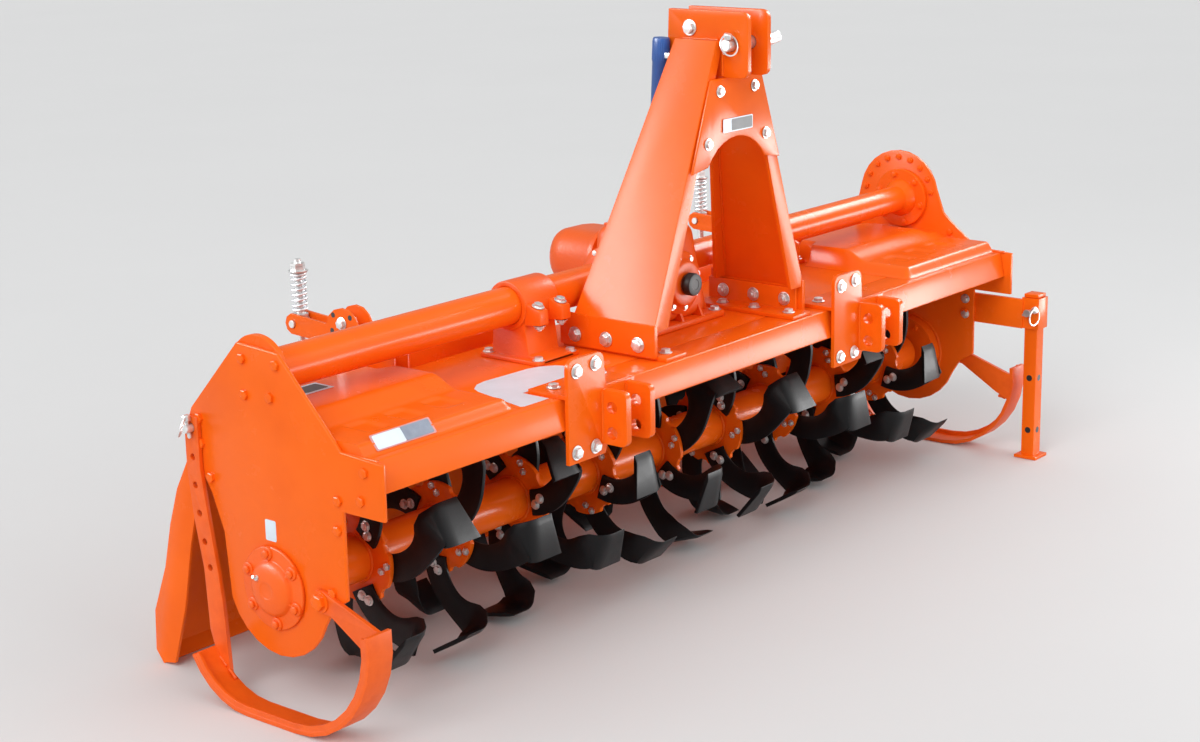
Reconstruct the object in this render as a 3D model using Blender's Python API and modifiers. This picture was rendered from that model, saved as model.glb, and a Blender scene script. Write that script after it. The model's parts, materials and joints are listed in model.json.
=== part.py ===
"""Rotary tiller for a tractor's three-point hitch, as an assembly of separate pieces.

Metres, +Z up. X runs along the rotor, with the gear case at +X; the hitch is at -Y and the
trailing board at +Y. Shapes are written in the rotor's own frame, whose origin is on the rotor's
axis midway between the side plates, and an empty lifts that frame to its height over the floor.
"""

import math

import bmesh
import bpy
from mathutils import Matrix, Vector

# ---- Overall sizes ---------------------------------------------------------------------------
HALF_WIDTH = 1.025          # outer face of each side plate, from the middle
AXLE_HEIGHT = 0.222         # rotor axis over the floor
ROTOR_Y = -0.0110           # rotor axis from the middle of the whole length
GAP = 0.0003                # between pieces that touch
RUNNING_GAP = 0.006         # between pieces that pass each other

# ---- Sheet, bar and tube sizes ---------------------------------------------------------------
PLATE = 0.008               # side plates
SHEET = 0.005               # deck and trailing board
BAR = 0.008                 # brackets and skid arms
CLEVIS_PLATE = 0.012
EAR_PLATE = 0.014

# ---- Rotor -----------------------------------------------------------------------------------
BLADE_RADIUS = 0.212
FLANGES = 9
FLANGE_PITCH = 0.2083
FLANGE_RADIUS = 0.086
FLANGE_THICKNESS = 0.010
ROTOR_TUBE_RADIUS = 0.042
BLADE_THICKNESS = 0.008
BLADE_WIDTH = 0.050
BLADE_REACH = 0.086         # how far a blade's tip is bent to the side
BLADE_TIP = 0.080           # the bent tip, measured round the rotor
BLADES_PER_SIDE = 3
HELIX_STEP = math.radians(24)
ROTOR_START = math.radians(8)

# ---- Shafts over the deck --------------------------------------------------------------------
SHAFT_Y = 0.025
SHAFT_Z = 0.366
MAIN_TUBE_RADIUS = 0.0365
DRIVE_TUBE_RADIUS = 0.030
TUBE_FLANGE_RADIUS = 0.068
TUBE_FLANGE_THICKNESS = 0.012
CLAMP_X = (-0.405, -0.285)

# ---- Deck, beam and trailing board -----------------------------------------------------------
DECK_Z = 0.262              # upper face of the flat of the deck
DECK_FLAT_END = 0.128       # where the deck starts to bend down to the rear
DECK_BEND = 0.040
PANEL_INNER = 0.676         # inner end of each raised panel of the deck, from the middle
PANEL_Y = (-0.222, 0.122)
PANEL_SLOPE = 0.024         # how far a panel's edges lean in
BEAM_Y = (-0.240, -0.166)
BEAM_Z = (0.206, DECK_Z)
BEAM_WALL = 0.006
END_PLATE_Y = -0.267        # front edge of the side plates' noses
HINGE_Y = 0.180
HINGE_Z = 0.236
HINGE_RADIUS = 0.009
BOARD_HALF_WIDTH = HALF_WIDTH - 0.017
BOARD_FOOT = 0.0015         # between the trailing board's lower edge and the floor
BOARD_LUGS = (-0.86, -0.29, 0.29, 0.86)

# ---- Gearbox ---------------------------------------------------------------------------------
GEARBOX_HALF = 0.105
GEARBOX_Y = (-0.085, 0.075)
GEARBOX_TOP = 0.470
PTO_Z = 0.354
PTO_RADIUS = 0.0175
PTO_FRONT = -0.124
REAR_COVER_Y = 0.205

# ---- Mast ------------------------------------------------------------------------------------
LEG_FOOT_X = 0.249
LEG_TOP_X = 0.060
LEG_FOOT_Z = 0.318
LEG_TOP_Z = 0.842
LEG_PLATE = 0.008
CLEVIS_X = 0.026            # inner face of each top clevis plate
CLEVIS_Y = (-0.277, -0.092)
CLEVIS_Z = (0.772, 0.896)
TOP_PIN_Y = -0.238
TOP_PIN_Z = 0.834
TOP_PIN_RADIUS = 0.0125
ARCH_Z = (0.600, CLEVIS_Z[0] - GAP)

# ---- Lower hitch brackets --------------------------------------------------------------------
SLOT_MIDDLE = 0.4235        # middle of the slot between a bracket's two ears
SLOT_HALF = 0.0275
EAR_FRONT = -0.316
EAR_Z = (0.164, 0.2645)
EAR_HOLE_Y = -0.283
EAR_HOLE_Z = (0.186, 0.233)
EAR_HOLE_RADIUS = 0.0115
BRACKET_Z = (0.144, 0.334)

# ---- Skids -----------------------------------------------------------------------------------
SKID_X = (HALF_WIDTH + 0.0008, HALF_WIDTH + 0.056)
SKID_PIVOT = (-0.117, 0.003)
SKID_PIN_RADIUS = 0.010
SKID_SOLE = 0.008
SKID_RIM = 0.016            # height of the raised outer edge
LOCK_PIN = (0.183, 0.252)

# ---- Stand -----------------------------------------------------------------------------------
STAND_X = HALF_WIDTH + 0.027
STAND_Y = -0.312
STAND_LEG = 0.032
STAND_WALL = 0.005
STAND_SLEEVE_Z = (0.088, 0.160)
STAND_FOOT = 0.056

# ---- Spring rods -----------------------------------------------------------------------------
ROD_X = 0.631
ROD_RADIUS = 0.007
TRUNNION = (0.332, 0.340)
ROD_EYE = (0.328, 0.012)
ROD_TOP = 0.122             # rod's length over its trunnion
SPRING_RADIUS = 0.0155
SPRING_WIRE = 0.0022
SPRING_TURNS = 6

ORANGE = (0.86, 0.15, 0.012)
BLACK = (0.012, 0.012, 0.014)
STEEL = (0.55, 0.55, 0.55)
BLUE = (0.02, 0.10, 0.45)


def clear_scene():
    for item in list(bpy.data.objects):
        bpy.data.objects.remove(item, do_unlink=True)


def new_collection(name):
    made = bpy.data.collections.new(name)
    bpy.context.scene.collection.children.link(made)
    return made


clear_scene()
PARTS = new_collection("rotary_tiller")
CUTTERS = new_collection("cutters")
CUTTERS.hide_render = True


def new_empty(name, location, parent=None):
    made = bpy.data.objects.new(name, None)
    made.location = location
    made.parent = parent
    PARTS.objects.link(made)
    return made


ROOT = new_empty("rotor_frame", (0, ROTOR_Y, AXLE_HEIGHT))


# ---- Ways of making shapes -------------------------------------------------------------------
def object_of(name, bm):
    mesh = bpy.data.meshes.new(name)
    bm.to_mesh(mesh)
    bm.free()
    made = bpy.data.objects.new(name, mesh)
    made.parent = ROOT
    PARTS.objects.link(made)
    return made


def box(name, x, y, z):
    """A block between the low and high value on each axis."""
    bm = bmesh.new()
    bmesh.ops.create_cube(bm, size=1.0)
    for vertex in bm.verts:
        vertex.co = [low + (high - low) * (c + 0.5) for c, (low, high) in zip(vertex.co, (x, y, z))]
    return object_of(name, bm)


def tapered(name, foot, top, z):
    """A block whose x and y ranges go from foot = (x, y) at z[0] to top = (x, y) at z[1]."""
    bm = bmesh.new()
    bmesh.ops.create_cube(bm, size=1.0)
    for vertex in bm.verts:
        xs, ys = top if vertex.co.z > 0 else foot
        vertex.co = (xs[vertex.co.x > 0], ys[vertex.co.y > 0], z[vertex.co.z > 0])
    return object_of(name, bm)


TURN = {"X": Matrix.Rotation(math.pi / 2, 4, "Y"), "Y": Matrix.Rotation(-math.pi / 2, 4, "X"),
        "Z": Matrix.Identity(4)}


def cylinder(name, axis, span, centre, radius, end_radius=None, segments=20):
    """A cylinder or cone along an axis, from span[0] to span[1]; centre holds the other two."""
    bm = bmesh.new()
    second = radius if end_radius is None else end_radius
    bmesh.ops.create_cone(bm, cap_ends=True, segments=segments, radius1=radius, radius2=second,
                          depth=span[1] - span[0])
    middle = (span[0] + span[1]) / 2
    place = {"X": (middle, *centre), "Y": (centre[0], middle, centre[1]), "Z": (*centre, middle)}
    bm.transform(Matrix.Translation(place[axis]) @ TURN[axis])
    return object_of(name, bm)


def bar_between(name, start, end, radius, segments=12):
    """A round bar from one point to another."""
    start, end = Vector(start), Vector(end)
    along = end - start
    bm = bmesh.new()
    bmesh.ops.create_cone(bm, cap_ends=True, segments=segments, radius1=radius, radius2=radius,
                          depth=along.length)
    turn = along.to_track_quat("Z", "Y").to_matrix().to_4x4()
    bm.transform(Matrix.Translation((start + end) / 2) @ turn)
    return object_of(name, bm)


def welded_mesh(source):
    """The evaluated mesh of an object, with the loose caps of a curve joined up."""
    bpy.context.view_layer.update()
    graph = bpy.context.evaluated_depsgraph_get()
    mesh = bpy.data.meshes.new_from_object(source.evaluated_get(graph))
    bm = bmesh.new()
    bm.from_mesh(mesh)
    bmesh.ops.remove_doubles(bm, verts=bm.verts, dist=1e-6)
    bmesh.ops.recalc_face_normals(bm, faces=bm.faces)
    bm.to_mesh(mesh)
    bm.free()
    return mesh


def spline(curve, points, cyclic):
    made = curve.splines.new("POLY")
    made.points.add(len(points) - 1)
    for point, place in zip(made.points, points):
        point.co = (*place, *([0] * (3 - len(place))), 1)
    made.use_cyclic_u = cyclic


FLAT = {"X": Matrix(((0, 0, 1, 0), (1, 0, 0, 0), (0, 1, 0, 0), (0, 0, 0, 1))),
        "Y": Matrix(((1, 0, 0, 0), (0, 0, -1, 0), (0, 1, 0, 0), (0, 0, 0, 1))),
        "Z": Matrix.Identity(4)}


def extruded(name, axis, outline, span, holes=()):
    """A flat outline, less its holes, carried along an axis. It is (y, z), (x, z) or (x, y)."""
    curve = bpy.data.curves.new(name, "CURVE")
    curve.dimensions = "2D"
    curve.fill_mode = "BOTH"
    curve.extrude = (span[1] - span[0]) / 2
    for loop in (outline, *holes):
        spline(curve, loop, True)
    drawn = bpy.data.objects.new(name, curve)
    PARTS.objects.link(drawn)
    mesh = welded_mesh(drawn)
    bpy.data.objects.remove(drawn)
    bpy.data.curves.remove(curve)
    middle = (span[0] + span[1]) / 2
    offset = {"X": (middle, 0, 0), "Y": (0, middle, 0), "Z": (0, 0, middle)}[axis]
    mesh.transform(Matrix.Translation(offset) @ FLAT[axis])
    made = bpy.data.objects.new(name, mesh)
    made.parent = ROOT
    PARTS.objects.link(made)
    return made


def circle(centre, radius, count=16):
    return arc(centre, radius, 0, 360 - 360 / count, count - 1)


def arc(centre, radius, start, end, steps):
    """Points on an arc, with its two ends given in degrees."""
    angles = [math.radians(start + (end - start) * i / steps) for i in range(steps + 1)]
    return [(centre[0] + radius * math.cos(a), centre[1] + radius * math.sin(a)) for a in angles]


def band(line, thickness):
    """The closed outline of a strip that lies to the left of a line of points."""
    points = [Vector(p) for p in line]
    inner = []
    for i, point in enumerate(points):
        before = (point - points[i - 1]).normalized() if i else None
        after = (points[i + 1] - point).normalized() if i + 1 < len(points) else None
        before, after = before or after, after or before
        along = (before + after).normalized()
        stretch = thickness / along.dot(before)
        inner.append((point.x - along.y * stretch, point.y + along.x * stretch))
    return [tuple(p) for p in points] + inner[::-1]


def tool(item):
    """Puts an object among the cutters, which are no part of the model."""
    PARTS.objects.unlink(item)
    CUTTERS.objects.link(item)
    item.hide_render = True
    item.display_type = "WIRE"
    return item


def boolean(item, operation, others):
    for other in others:
        step = item.modifiers.new(other.name, "BOOLEAN")
        step.operation = operation
        step.object = tool(other)
    return item


def join(item, *others):
    return boolean(item, "UNION", others)


def cut(item, *others):
    return boolean(item, "DIFFERENCE", others)


def carry(item, empty):
    """Hangs a piece on a joint's empty, with its origin on the axis."""
    item.data.transform(Matrix.Translation(-empty.location))
    item.parent = empty
    return item


def mirrored(name, item):
    """A copy of a piece on the other side of the middle."""
    mesh = welded_mesh(item)
    mesh.transform(Matrix.Diagonal((-1, 1, 1, 1)))
    mesh.flip_normals()
    made = bpy.data.objects.new(name, mesh)
    made.parent = item.parent
    made.location = Vector((-item.location.x, item.location.y, item.location.z))
    PARTS.objects.link(made)
    return made


# ---- Rotor -----------------------------------------------------------------------------------
ROTOR = new_empty("rotor_axis", (0, 0, 0), ROOT)
HUB_LENGTH = 0.030
STUB_RADIUS = 0.026


def blade(name, angle, side):
    """One hooked blade: a curved arm in the flange's plane and a tip bent to the side."""
    steps = 4
    root_radius, width, sweep = 0.060, BLADE_WIDTH, math.radians(34)
    tip_inner = BLADE_RADIUS - BLADE_THICKNESS
    front, back = [], []
    for i in range(steps + 1):
        share = i / steps
        radius = root_radius + (tip_inner + 0.002 - root_radius) * share
        middle = angle - sweep * share ** 1.6
        half = width / 2 / radius
        front.append((radius * math.cos(middle - half), radius * math.sin(middle - half)))
        back.append((radius * math.cos(middle + half), radius * math.sin(middle + half)))
    inner = FLANGE_THICKNESS / 2 - 0.001
    face = sorted((side * inner, side * (inner + BLADE_THICKNESS)))
    arm = extruded(name + "_arm", "X", front + back[::-1], face)
    centre = math.degrees(angle - sweep)
    half_tip = math.degrees(BLADE_TIP / 2 / BLADE_RADIUS)
    outer = arc((0, 0), BLADE_RADIUS, centre - half_tip, centre + half_tip, 2)
    under = arc((0, 0), tip_inner, centre + half_tip, centre - half_tip, 2)
    reach = sorted((side * (inner + 0.001), side * (inner + BLADE_REACH)))
    return arm, extruded(name + "_tip", "X", outer + under, reach)


def rotor():
    end = HALF_WIDTH - PLATE - HUB_LENGTH - RUNNING_GAP
    tube = cylinder("rotor_tube", "X", (-end, end), (0, 0), ROTOR_TUBE_RADIUS)
    stub_end = HALF_WIDTH - PLATE - RUNNING_GAP
    for side in (-1, 1):
        reach = sorted((side * (end - 0.01), side * stub_end))
        join(tube, cylinder("rotor_stub", "X", reach, (0, 0), STUB_RADIUS))
    carry(tube, ROTOR)

    half = FLANGE_THICKNESS / 2
    ring = extruded("flange", "X", circle((0, 0), FLANGE_RADIUS, 20), (-half, half),
                    [circle((0, 0), ROTOR_TUBE_RADIUS / math.cos(math.pi / 20) + GAP, 20)])
    for i in range(2 * BLADES_PER_SIDE):
        side = 1 if i % 2 else -1
        join(ring, *blade(f"blade_{i}", math.pi * i / BLADES_PER_SIDE, side))
    shared = welded_mesh(ring)
    for helper in [ring] + [step.object for step in ring.modifiers]:
        bpy.data.objects.remove(helper)
    first = -FLANGE_PITCH * (FLANGES - 1) / 2
    for i in range(FLANGES):
        flange = bpy.data.objects.new(f"rotor_flange_{i + 1}", shared)
        flange.parent = ROTOR
        flange.location.x = first + FLANGE_PITCH * i
        flange.rotation_euler.x = ROTOR_START + HELIX_STEP * i
        PARTS.objects.link(flange)


# ---- Side plates and gear case ---------------------------------------------------------------
PLATE_NOSE = [(-0.172, 0.268), (END_PLATE_Y, 0.262), (END_PLATE_Y, 0.166), (-0.172, 0.166)]
HUB_RADIUS = 0.060
CASE_DEPTH = 0.058
CASE_TOP = (0.036, 0.372)
CASE_TOP_RADIUS = 0.104


def lower_edge():
    """The side plate's edge from its nose round under the rotor to its rear."""
    return [(-0.172, 0.012), (-0.138, -0.010)] + arc((-0.002, 0.0), 0.123, 200, 340, 10) + [
        (0.124, 0.075), (0.150, 0.140), (0.186, 0.200)]


def left_plate():
    upper = [(0.194, 0.241), (0.199, 0.266), (0.190, 0.286), (0.065, 0.418), (-0.033, 0.412)]
    outline = lower_edge() + upper + PLATE_NOSE
    plate = extruded("left_side_plate", "X", outline, (-HALF_WIDTH, -HALF_WIDTH + PLATE))
    hub = cylinder("hub", "X", (-HALF_WIDTH + PLATE - 0.001, -HALF_WIDTH + PLATE + HUB_LENGTH),
                   (0, 0), HUB_RADIUS)
    return cut(join(plate, hub), bearing_bore(-1))


def bearing_bore(side):
    """The hole that the rotor's stub turns in, open towards the middle."""
    reach = sorted((side * (HALF_WIDTH - PLATE / 2), side * (HALF_WIDTH - 0.2)))
    return cylinder("bearing_bore", "X", reach, (0, 0), STUB_RADIUS + 0.0004, segments=40)


def right_plate():
    upper = [(0.176, 0.235), (0.160, 0.300)] + arc(CASE_TOP, CASE_TOP_RADIUS, 10, 170, 12) + [
        (-0.085, 0.340), (-0.103, 0.322)]
    outline = lower_edge() + upper + PLATE_NOSE
    plate = extruded("right_side_plate", "X", outline, (HALF_WIDTH - PLATE, HALF_WIDTH))
    hub = cylinder("hub", "X", (HALF_WIDTH - PLATE - HUB_LENGTH, HALF_WIDTH - PLATE + 0.001),
                   (0, 0), HUB_RADIUS + 0.025)
    return cut(join(plate, hub), bearing_bore(1))


def hull(first, first_radius, second, second_radius, steps=9):
    """The outline round two circles, the first over the second."""
    along = Vector(first) - Vector(second)
    lean = math.degrees(math.atan2(along.y, along.x))
    open_angle = math.degrees(math.acos((second_radius - first_radius) / along.length))
    upper = arc(first, first_radius, lean - open_angle, lean + open_angle, steps)
    lower = arc(second, second_radius, lean + open_angle, lean + 360 - open_angle, steps)
    return upper + lower


def gear_case():
    back = HALF_WIDTH + GAP
    case = extruded("gear_case", "X", hull(CASE_TOP, 0.088, (0, 0), 0.082),
                    (back, back + CASE_DEPTH))
    bevel = case.modifiers.new("rounded_rim", "BEVEL")
    bevel.width = 0.010
    bevel.segments = 2
    bevel.limit_method = "ANGLE"
    bevel.angle_limit = math.radians(50)
    return case


def bearing_cover():
    outer = -HALF_WIDTH - GAP
    cover = cylinder("left_bearing_cover", "X", (outer - 0.006, outer), (0, 0), 0.074)
    dome = cylinder("dome", "X", (outer - 0.022, outer - 0.005), (0, 0), 0.030, 0.044)
    return join(cover, dome)


# ---- Front beam and deck ---------------------------------------------------------------------
DECK_ENDS = (-HALF_WIDTH + PLATE + GAP, HALF_WIDTH - PLATE - GAP)


def front_beam():
    y, z = BEAM_Y, BEAM_Z
    outline = [(y[0] - 0.012, z[0]), (y[1], z[0]), (y[1], z[1]), (y[0], z[1])]
    w = BEAM_WALL
    hollow = [(y[0] - 0.010 + w, z[0] + w), (y[1] - w, z[0] + w), (y[1] - w, z[1] - w),
              (y[0] + w, z[1] - w)]
    return extruded("front_beam", "X", outline, DECK_ENDS, [hollow])


def deck():
    """The sheet over the rotor, from the beam back to the trailing board's hinge."""
    bend = arc((DECK_FLAT_END, DECK_Z - DECK_BEND), DECK_BEND, 90, 50, 5)
    line = bend[::-1] + [(BEAM_Y[1] + GAP, DECK_Z)]
    sheet = extruded("deck", "X", band(line, SHEET), DECK_ENDS)
    for side in (-1, 1):
        join(sheet, deck_panel("panel", side, 0.0, DECK_Z - SHEET / 2))
        cut(sheet, deck_panel("room", side, SHEET, DECK_Z - SHEET - 0.001))
    return sheet


def deck_panel(name, side, wall, low):
    """A raised panel at an end of the deck, drawn in by a wall's thickness for the room under it."""
    top = SHAFT_Z - TUBE_FLANGE_RADIUS - 0.003 - wall
    seat = DECK_Z + GAP if wall == 0 else DECK_Z - 0.001
    front, rear = PANEL_Y[0] + wall * 1.3, PANEL_Y[1] - wall * 1.3
    behind_beam = BEAM_Y[1] + GAP + wall * 0.6
    outline = [(front, seat), (behind_beam, seat), (behind_beam, low), (rear, low),
               (rear, DECK_Z), (rear - PANEL_SLOPE, top), (front + PANEL_SLOPE, top)]
    ends = sorted((side * (PANEL_INNER + wall * 1.3), side * (DECK_ENDS[1] - wall)))
    panel = extruded(name, "X", outline, ends)
    for vertex in panel.data.vertices:
        if vertex.co.z > top - 0.001 and abs(vertex.co.x) < PANEL_INNER + 0.1:
            vertex.co.x += side * PANEL_SLOPE
    return panel


def hinge_rod():
    end = HALF_WIDTH - PLATE - GAP
    return cylinder("hinge_rod", "X", (-end, end), (HINGE_Y, HINGE_Z), HINGE_RADIUS, segments=16)


# ---- Trailing board --------------------------------------------------------------------------
BOARD = new_empty("board_hinge", (0, HINGE_Y, HINGE_Z), ROOT)
LUG_GAP = 0.011             # half the room between a rod's two lugs
LUG_HOLE = 0.021


def board_line():
    """The inner face of the trailing board, from its lower edge up to the hinge."""
    foot = -AXLE_HEIGHT + BOARD_FOOT
    return [(0.328, foot), (0.346, foot + 0.022), (0.342, -0.125), (0.305, -0.035), (0.283, 0.050),
            (0.258, 0.120), (0.226, 0.176), (0.203, 0.206)]


def trailing_board():
    half = BOARD_HALF_WIDTH
    line = board_line()
    outline = band(line[::-1], SHEET)
    board = extruded("trailing_board", "X", outline, (-half, half))
    rib = [(y + 0.001, z) for y, z in line] + [(0.205, 0.130), (0.236, 0.020), (0.262, -0.100),
                                               (0.300, line[0][1] + 0.006)]
    for side in (-1, 1):
        join(board, extruded("end_rib", "X", rib, sorted((side * half, side * (half - 0.006)))))
    clearance = HINGE_RADIUS + 0.0005
    for x in BOARD_LUGS:
        outer = arc((HINGE_Y, HINGE_Z), HINGE_RADIUS + 0.009, -10, 230, 6)
        lug = extruded("hinge_lug", "X", outer + [(0.2045, 0.198), (0.220, 0.188)],
                       (x - 0.03, x + 0.03), [circle((HINGE_Y, HINGE_Z), clearance)])
        join(board, lug)
    for x in (-ROD_X, ROD_X):
        for side in (-1, 1):
            near = x + side * LUG_GAP
            outline = [(0.308, -0.040), (0.2815, 0.062)] + arc(ROD_EYE, 0.034, 62, -78, 5)
            join(board, extruded("rod_lug", "X", outline, sorted((near, near + side * 0.006)),
                                 [circle(ROD_EYE, LUG_HOLE, 12)]))
    return carry(board, BOARD)


# ---- Shafts, clamp and gearbox ---------------------------------------------------------------
def shaft_tube(name, start, end, radius, flange_at_start):
    """A tube along the shaft's line, with a bolted flange where it meets the side."""
    tube = cylinder(name, "X", (start, end), (SHAFT_Y, SHAFT_Z), radius, segments=32)
    edge = start if flange_at_start else end - TUBE_FLANGE_THICKNESS
    flange = cylinder("flange", "X", (edge, edge + TUBE_FLANGE_THICKNESS), (SHAFT_Y, SHAFT_Z),
                      TUBE_FLANGE_RADIUS)
    return join(tube, flange)


def tube_clamp():
    """The saddle that holds the left tube on the deck, with its cap."""
    low, high = CLAMP_X
    room = MAIN_TUBE_RADIUS + GAP
    outer = MAIN_TUBE_RADIUS + 0.011
    base = box("tube_clamp", (low, high), (SHAFT_Y - 0.085, SHAFT_Y + 0.060),
               (DECK_Z + GAP, DECK_Z + 0.009))
    web = box("web", (low + 0.012, high - 0.012), (SHAFT_Y - outer + 0.004, SHAFT_Y + outer - 0.004),
              (DECK_Z + 0.008, SHAFT_Z))
    collar = cylinder("collar", "X", (low + 0.012, high - 0.012), (SHAFT_Y, SHAFT_Z), outer)
    ears = box("ears", (low + 0.012, high - 0.012), (SHAFT_Y - outer - 0.034, SHAFT_Y - outer + 0.008),
               (SHAFT_Z - 0.030, SHAFT_Z - 0.006))
    join(base, web, collar, ears)
    return cut(base, cylinder("tube_room", "X", (low, high), (SHAFT_Y, SHAFT_Z), room, segments=32))


def gearbox():
    half, (front, rear) = GEARBOX_HALF, GEARBOX_Y
    foot = box("gearbox", (-half - 0.03, half + 0.03), (front - 0.012, rear + 0.012),
               (DECK_Z + GAP, DECK_Z + 0.014))
    body = tapered("body", ((-half, half), (front, rear)),
                   ((-half + 0.02, half - 0.02), (front + 0.01, rear)),
                   (DECK_Z + 0.013, GEARBOX_TOP))
    nose = cylinder("input_nose", "Y", (front - 0.018, front + 0.02), (0, PTO_Z), 0.046)
    left = cylinder("left_neck", "X", (-half - 0.012, -half + 0.03), (SHAFT_Y, SHAFT_Z), 0.048)
    right = cylinder("right_neck", "X", (half - 0.03, half + 0.012), (SHAFT_Y, SHAFT_Z), 0.048)
    join(foot, body, nose, left, right)
    return cut(foot, cylinder("input_bore", "Y", (front - 0.03, front + 0.03), (0, PTO_Z),
                              PTO_RADIUS + 0.0004, segments=40))


def gearbox_rear_cover():
    start = GEARBOX_Y[1] + GAP
    low, high = 0.318, 0.448
    outline = ([(-0.085, low), (0.085, low)] + arc((0.050, high - 0.035), 0.035, 0, 90, 4)
               + arc((-0.050, high - 0.035), 0.035, 90, 180, 4))
    return extruded("gearbox_rear_cover", "Y", outline, (start, REAR_COVER_Y))


PTO = new_empty("pto_axis", (0, PTO_FRONT, PTO_Z), ROOT)


def pto_shaft():
    inside = GEARBOX_Y[0] + 0.025
    shaft = cylinder("pto_shaft", "Y", (PTO_FRONT + 0.012, inside), (0, PTO_Z), PTO_RADIUS)
    cap = cylinder("pto_cap", "Y", (PTO_FRONT, PTO_FRONT + 0.018), (0, PTO_Z), 0.0225)
    room = cylinder("cap_room", "Y", (PTO_FRONT + 0.0117, PTO_FRONT + 0.05), (0, PTO_Z),
                    PTO_RADIUS + GAP)
    cut(cap, room)
    carry(shaft, PTO)
    carry(cap, PTO)


# ---- Mast ------------------------------------------------------------------------------------
FOOT_PLATE_Z = (DECK_Z + 0.006, SHAFT_Z - MAIN_TUBE_RADIUS + 0.0005)
FOOT_Y = (-0.214, 0.016)


def leg_x(z):
    share = (z - LEG_FOOT_Z) / (LEG_TOP_Z - LEG_FOOT_Z)
    return -(LEG_FOOT_X + (LEG_TOP_X - LEG_FOOT_X) * share)


def leg_y(z):
    share = (z - LEG_FOOT_Z) / (LEG_TOP_Z - LEG_FOOT_Z)
    rear = SHAFT_Y - MAIN_TUBE_RADIUS - 0.0025
    return (-0.210 - 0.009 * share, rear - 0.110 * share)


def leg_block(name, x_foot, x_top, y_foot, y_top):
    """A block that follows the leg's lean; x is measured inwards from the leg's outer face."""
    low, high = LEG_FOOT_Z, LEG_TOP_Z
    foot = [leg_x(low) + x for x in x_foot]
    top = [leg_x(high) + x for x in x_top]
    return tapered(name, (foot, y_foot), (top, y_top), (low, high))


def mast_leg():
    y_foot, y_top = leg_y(LEG_FOOT_Z), leg_y(LEG_TOP_Z)
    inner_top = LEG_TOP_X - CLEVIS_X - CLEVIS_PLATE - GAP
    leg = leg_block("mast_leg_left", (0, LEG_PLATE), (0, LEG_PLATE), y_foot, y_top)
    front = leg_block("front_flange", (0.0005, 0.044), (0.0005, inner_top),
                      (y_foot[0] - 0.001, y_foot[0] + LEG_PLATE - 0.001),
                      (y_top[0] - 0.001, y_top[0] + LEG_PLATE - 0.001))
    rear = leg_block("rear_flange", (0.0005, 0.040), (0.0005, inner_top),
                     (y_foot[1] - LEG_PLATE + 0.001, y_foot[1] + 0.001),
                     (y_top[1] - LEG_PLATE + 0.001, y_top[1] + 0.001))
    foot = box("foot", (-LEG_FOOT_X - 0.001, -LEG_FOOT_X + LEG_PLATE - 0.0005), FOOT_Y, FOOT_PLATE_Z)
    return join(leg, front, rear, foot)


def mast_foot_bracket():
    """The angle on the deck that a leg's foot is bolted to."""
    face = -LEG_FOOT_X + LEG_PLATE - 0.0005 + GAP
    y = (BEAM_Y[0] + 0.006, FOOT_Y[1])
    bracket = box("mast_foot_left", (face, face + 0.008), (FOOT_Y[0] + 0.012, y[1]),
                  (DECK_Z + GAP, FOOT_PLATE_Z[1] - 0.016))
    base = box("base", (face + 0.001, face + 0.062), y, (DECK_Z + GAP, DECK_Z + 0.008))
    return join(bracket, base)


def clevis_plate():
    low, high = CLEVIS_Z
    front, rear = CLEVIS_Y
    corner = 0.016
    outline = ([(rear, high)] + arc((front + corner, high - corner), corner, 90, 180, 3)
               + arc((front + corner, low + corner), corner, 180, 270, 3)
               + [(-0.190, low), (rear + 0.004, low + 0.030)])
    hole = circle((TOP_PIN_Y, TOP_PIN_Z), TOP_PIN_RADIUS + 0.0005)
    spare = circle((-0.143, 0.862), 0.008, 12)
    span = (-CLEVIS_X - CLEVIS_PLATE, -CLEVIS_X)
    return extruded("clevis_plate_left", "X", outline, span, [hole, spare])


def clevis_spacer():
    """The short tube and bolt that tie the two clevis plates together at the rear."""
    end = CLEVIS_X - GAP
    spacer = cylinder("clevis_spacer", "X", (-end, end), (-0.143, 0.862), 0.014, segments=16)
    bolt = cylinder("bolt", "X", (-CLEVIS_X - CLEVIS_PLATE - 0.008, CLEVIS_X + CLEVIS_PLATE + 0.008),
                    (-0.143, 0.862), 0.0075, segments=12)
    return join(spacer, bolt)


def top_link_pin():
    pin = cylinder("top_link_pin", "X", (-0.058, 0.118), (TOP_PIN_Y, TOP_PIN_Z), TOP_PIN_RADIUS)
    head = cylinder("head", "X", (-0.058, -0.050), (TOP_PIN_Y, TOP_PIN_Z), 0.0155)
    return join(pin, head)


def arch_plate():
    """The arched plate that ties the legs together at their front."""
    low, high = ARCH_Z
    back = leg_y(high)[0] - 0.001 - GAP
    inset = 0.004
    left_high, left_low = leg_x(high) + inset, leg_x(low) + inset
    opening = arc((0, low - 0.055), 0.112, 34, 146, 10)
    outline = [(left_low, low), (left_high, high), (-left_high, high), (-left_low, low)] + opening
    return extruded("mast_arch_plate", "Y", outline, (back - 0.006, back))


def document_holder():
    """The round plastic case for papers, clipped upright behind the left leg's rear flange."""
    x, radius = -0.0565, 0.0165
    clip_low, clip_high = 0.806, 0.812
    top, bottom = (x, -0.0885, LEG_TOP_Z), (x, -0.0755, 0.625)
    holder = bar_between("document_holder", bottom, top, radius, segments=20)
    clip = box("clip", (x - 0.008, x + 0.008), (leg_y(clip_low)[1] + 0.001 + GAP, top[1]),
               (clip_low, clip_high))
    return join(holder, clip)


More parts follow.
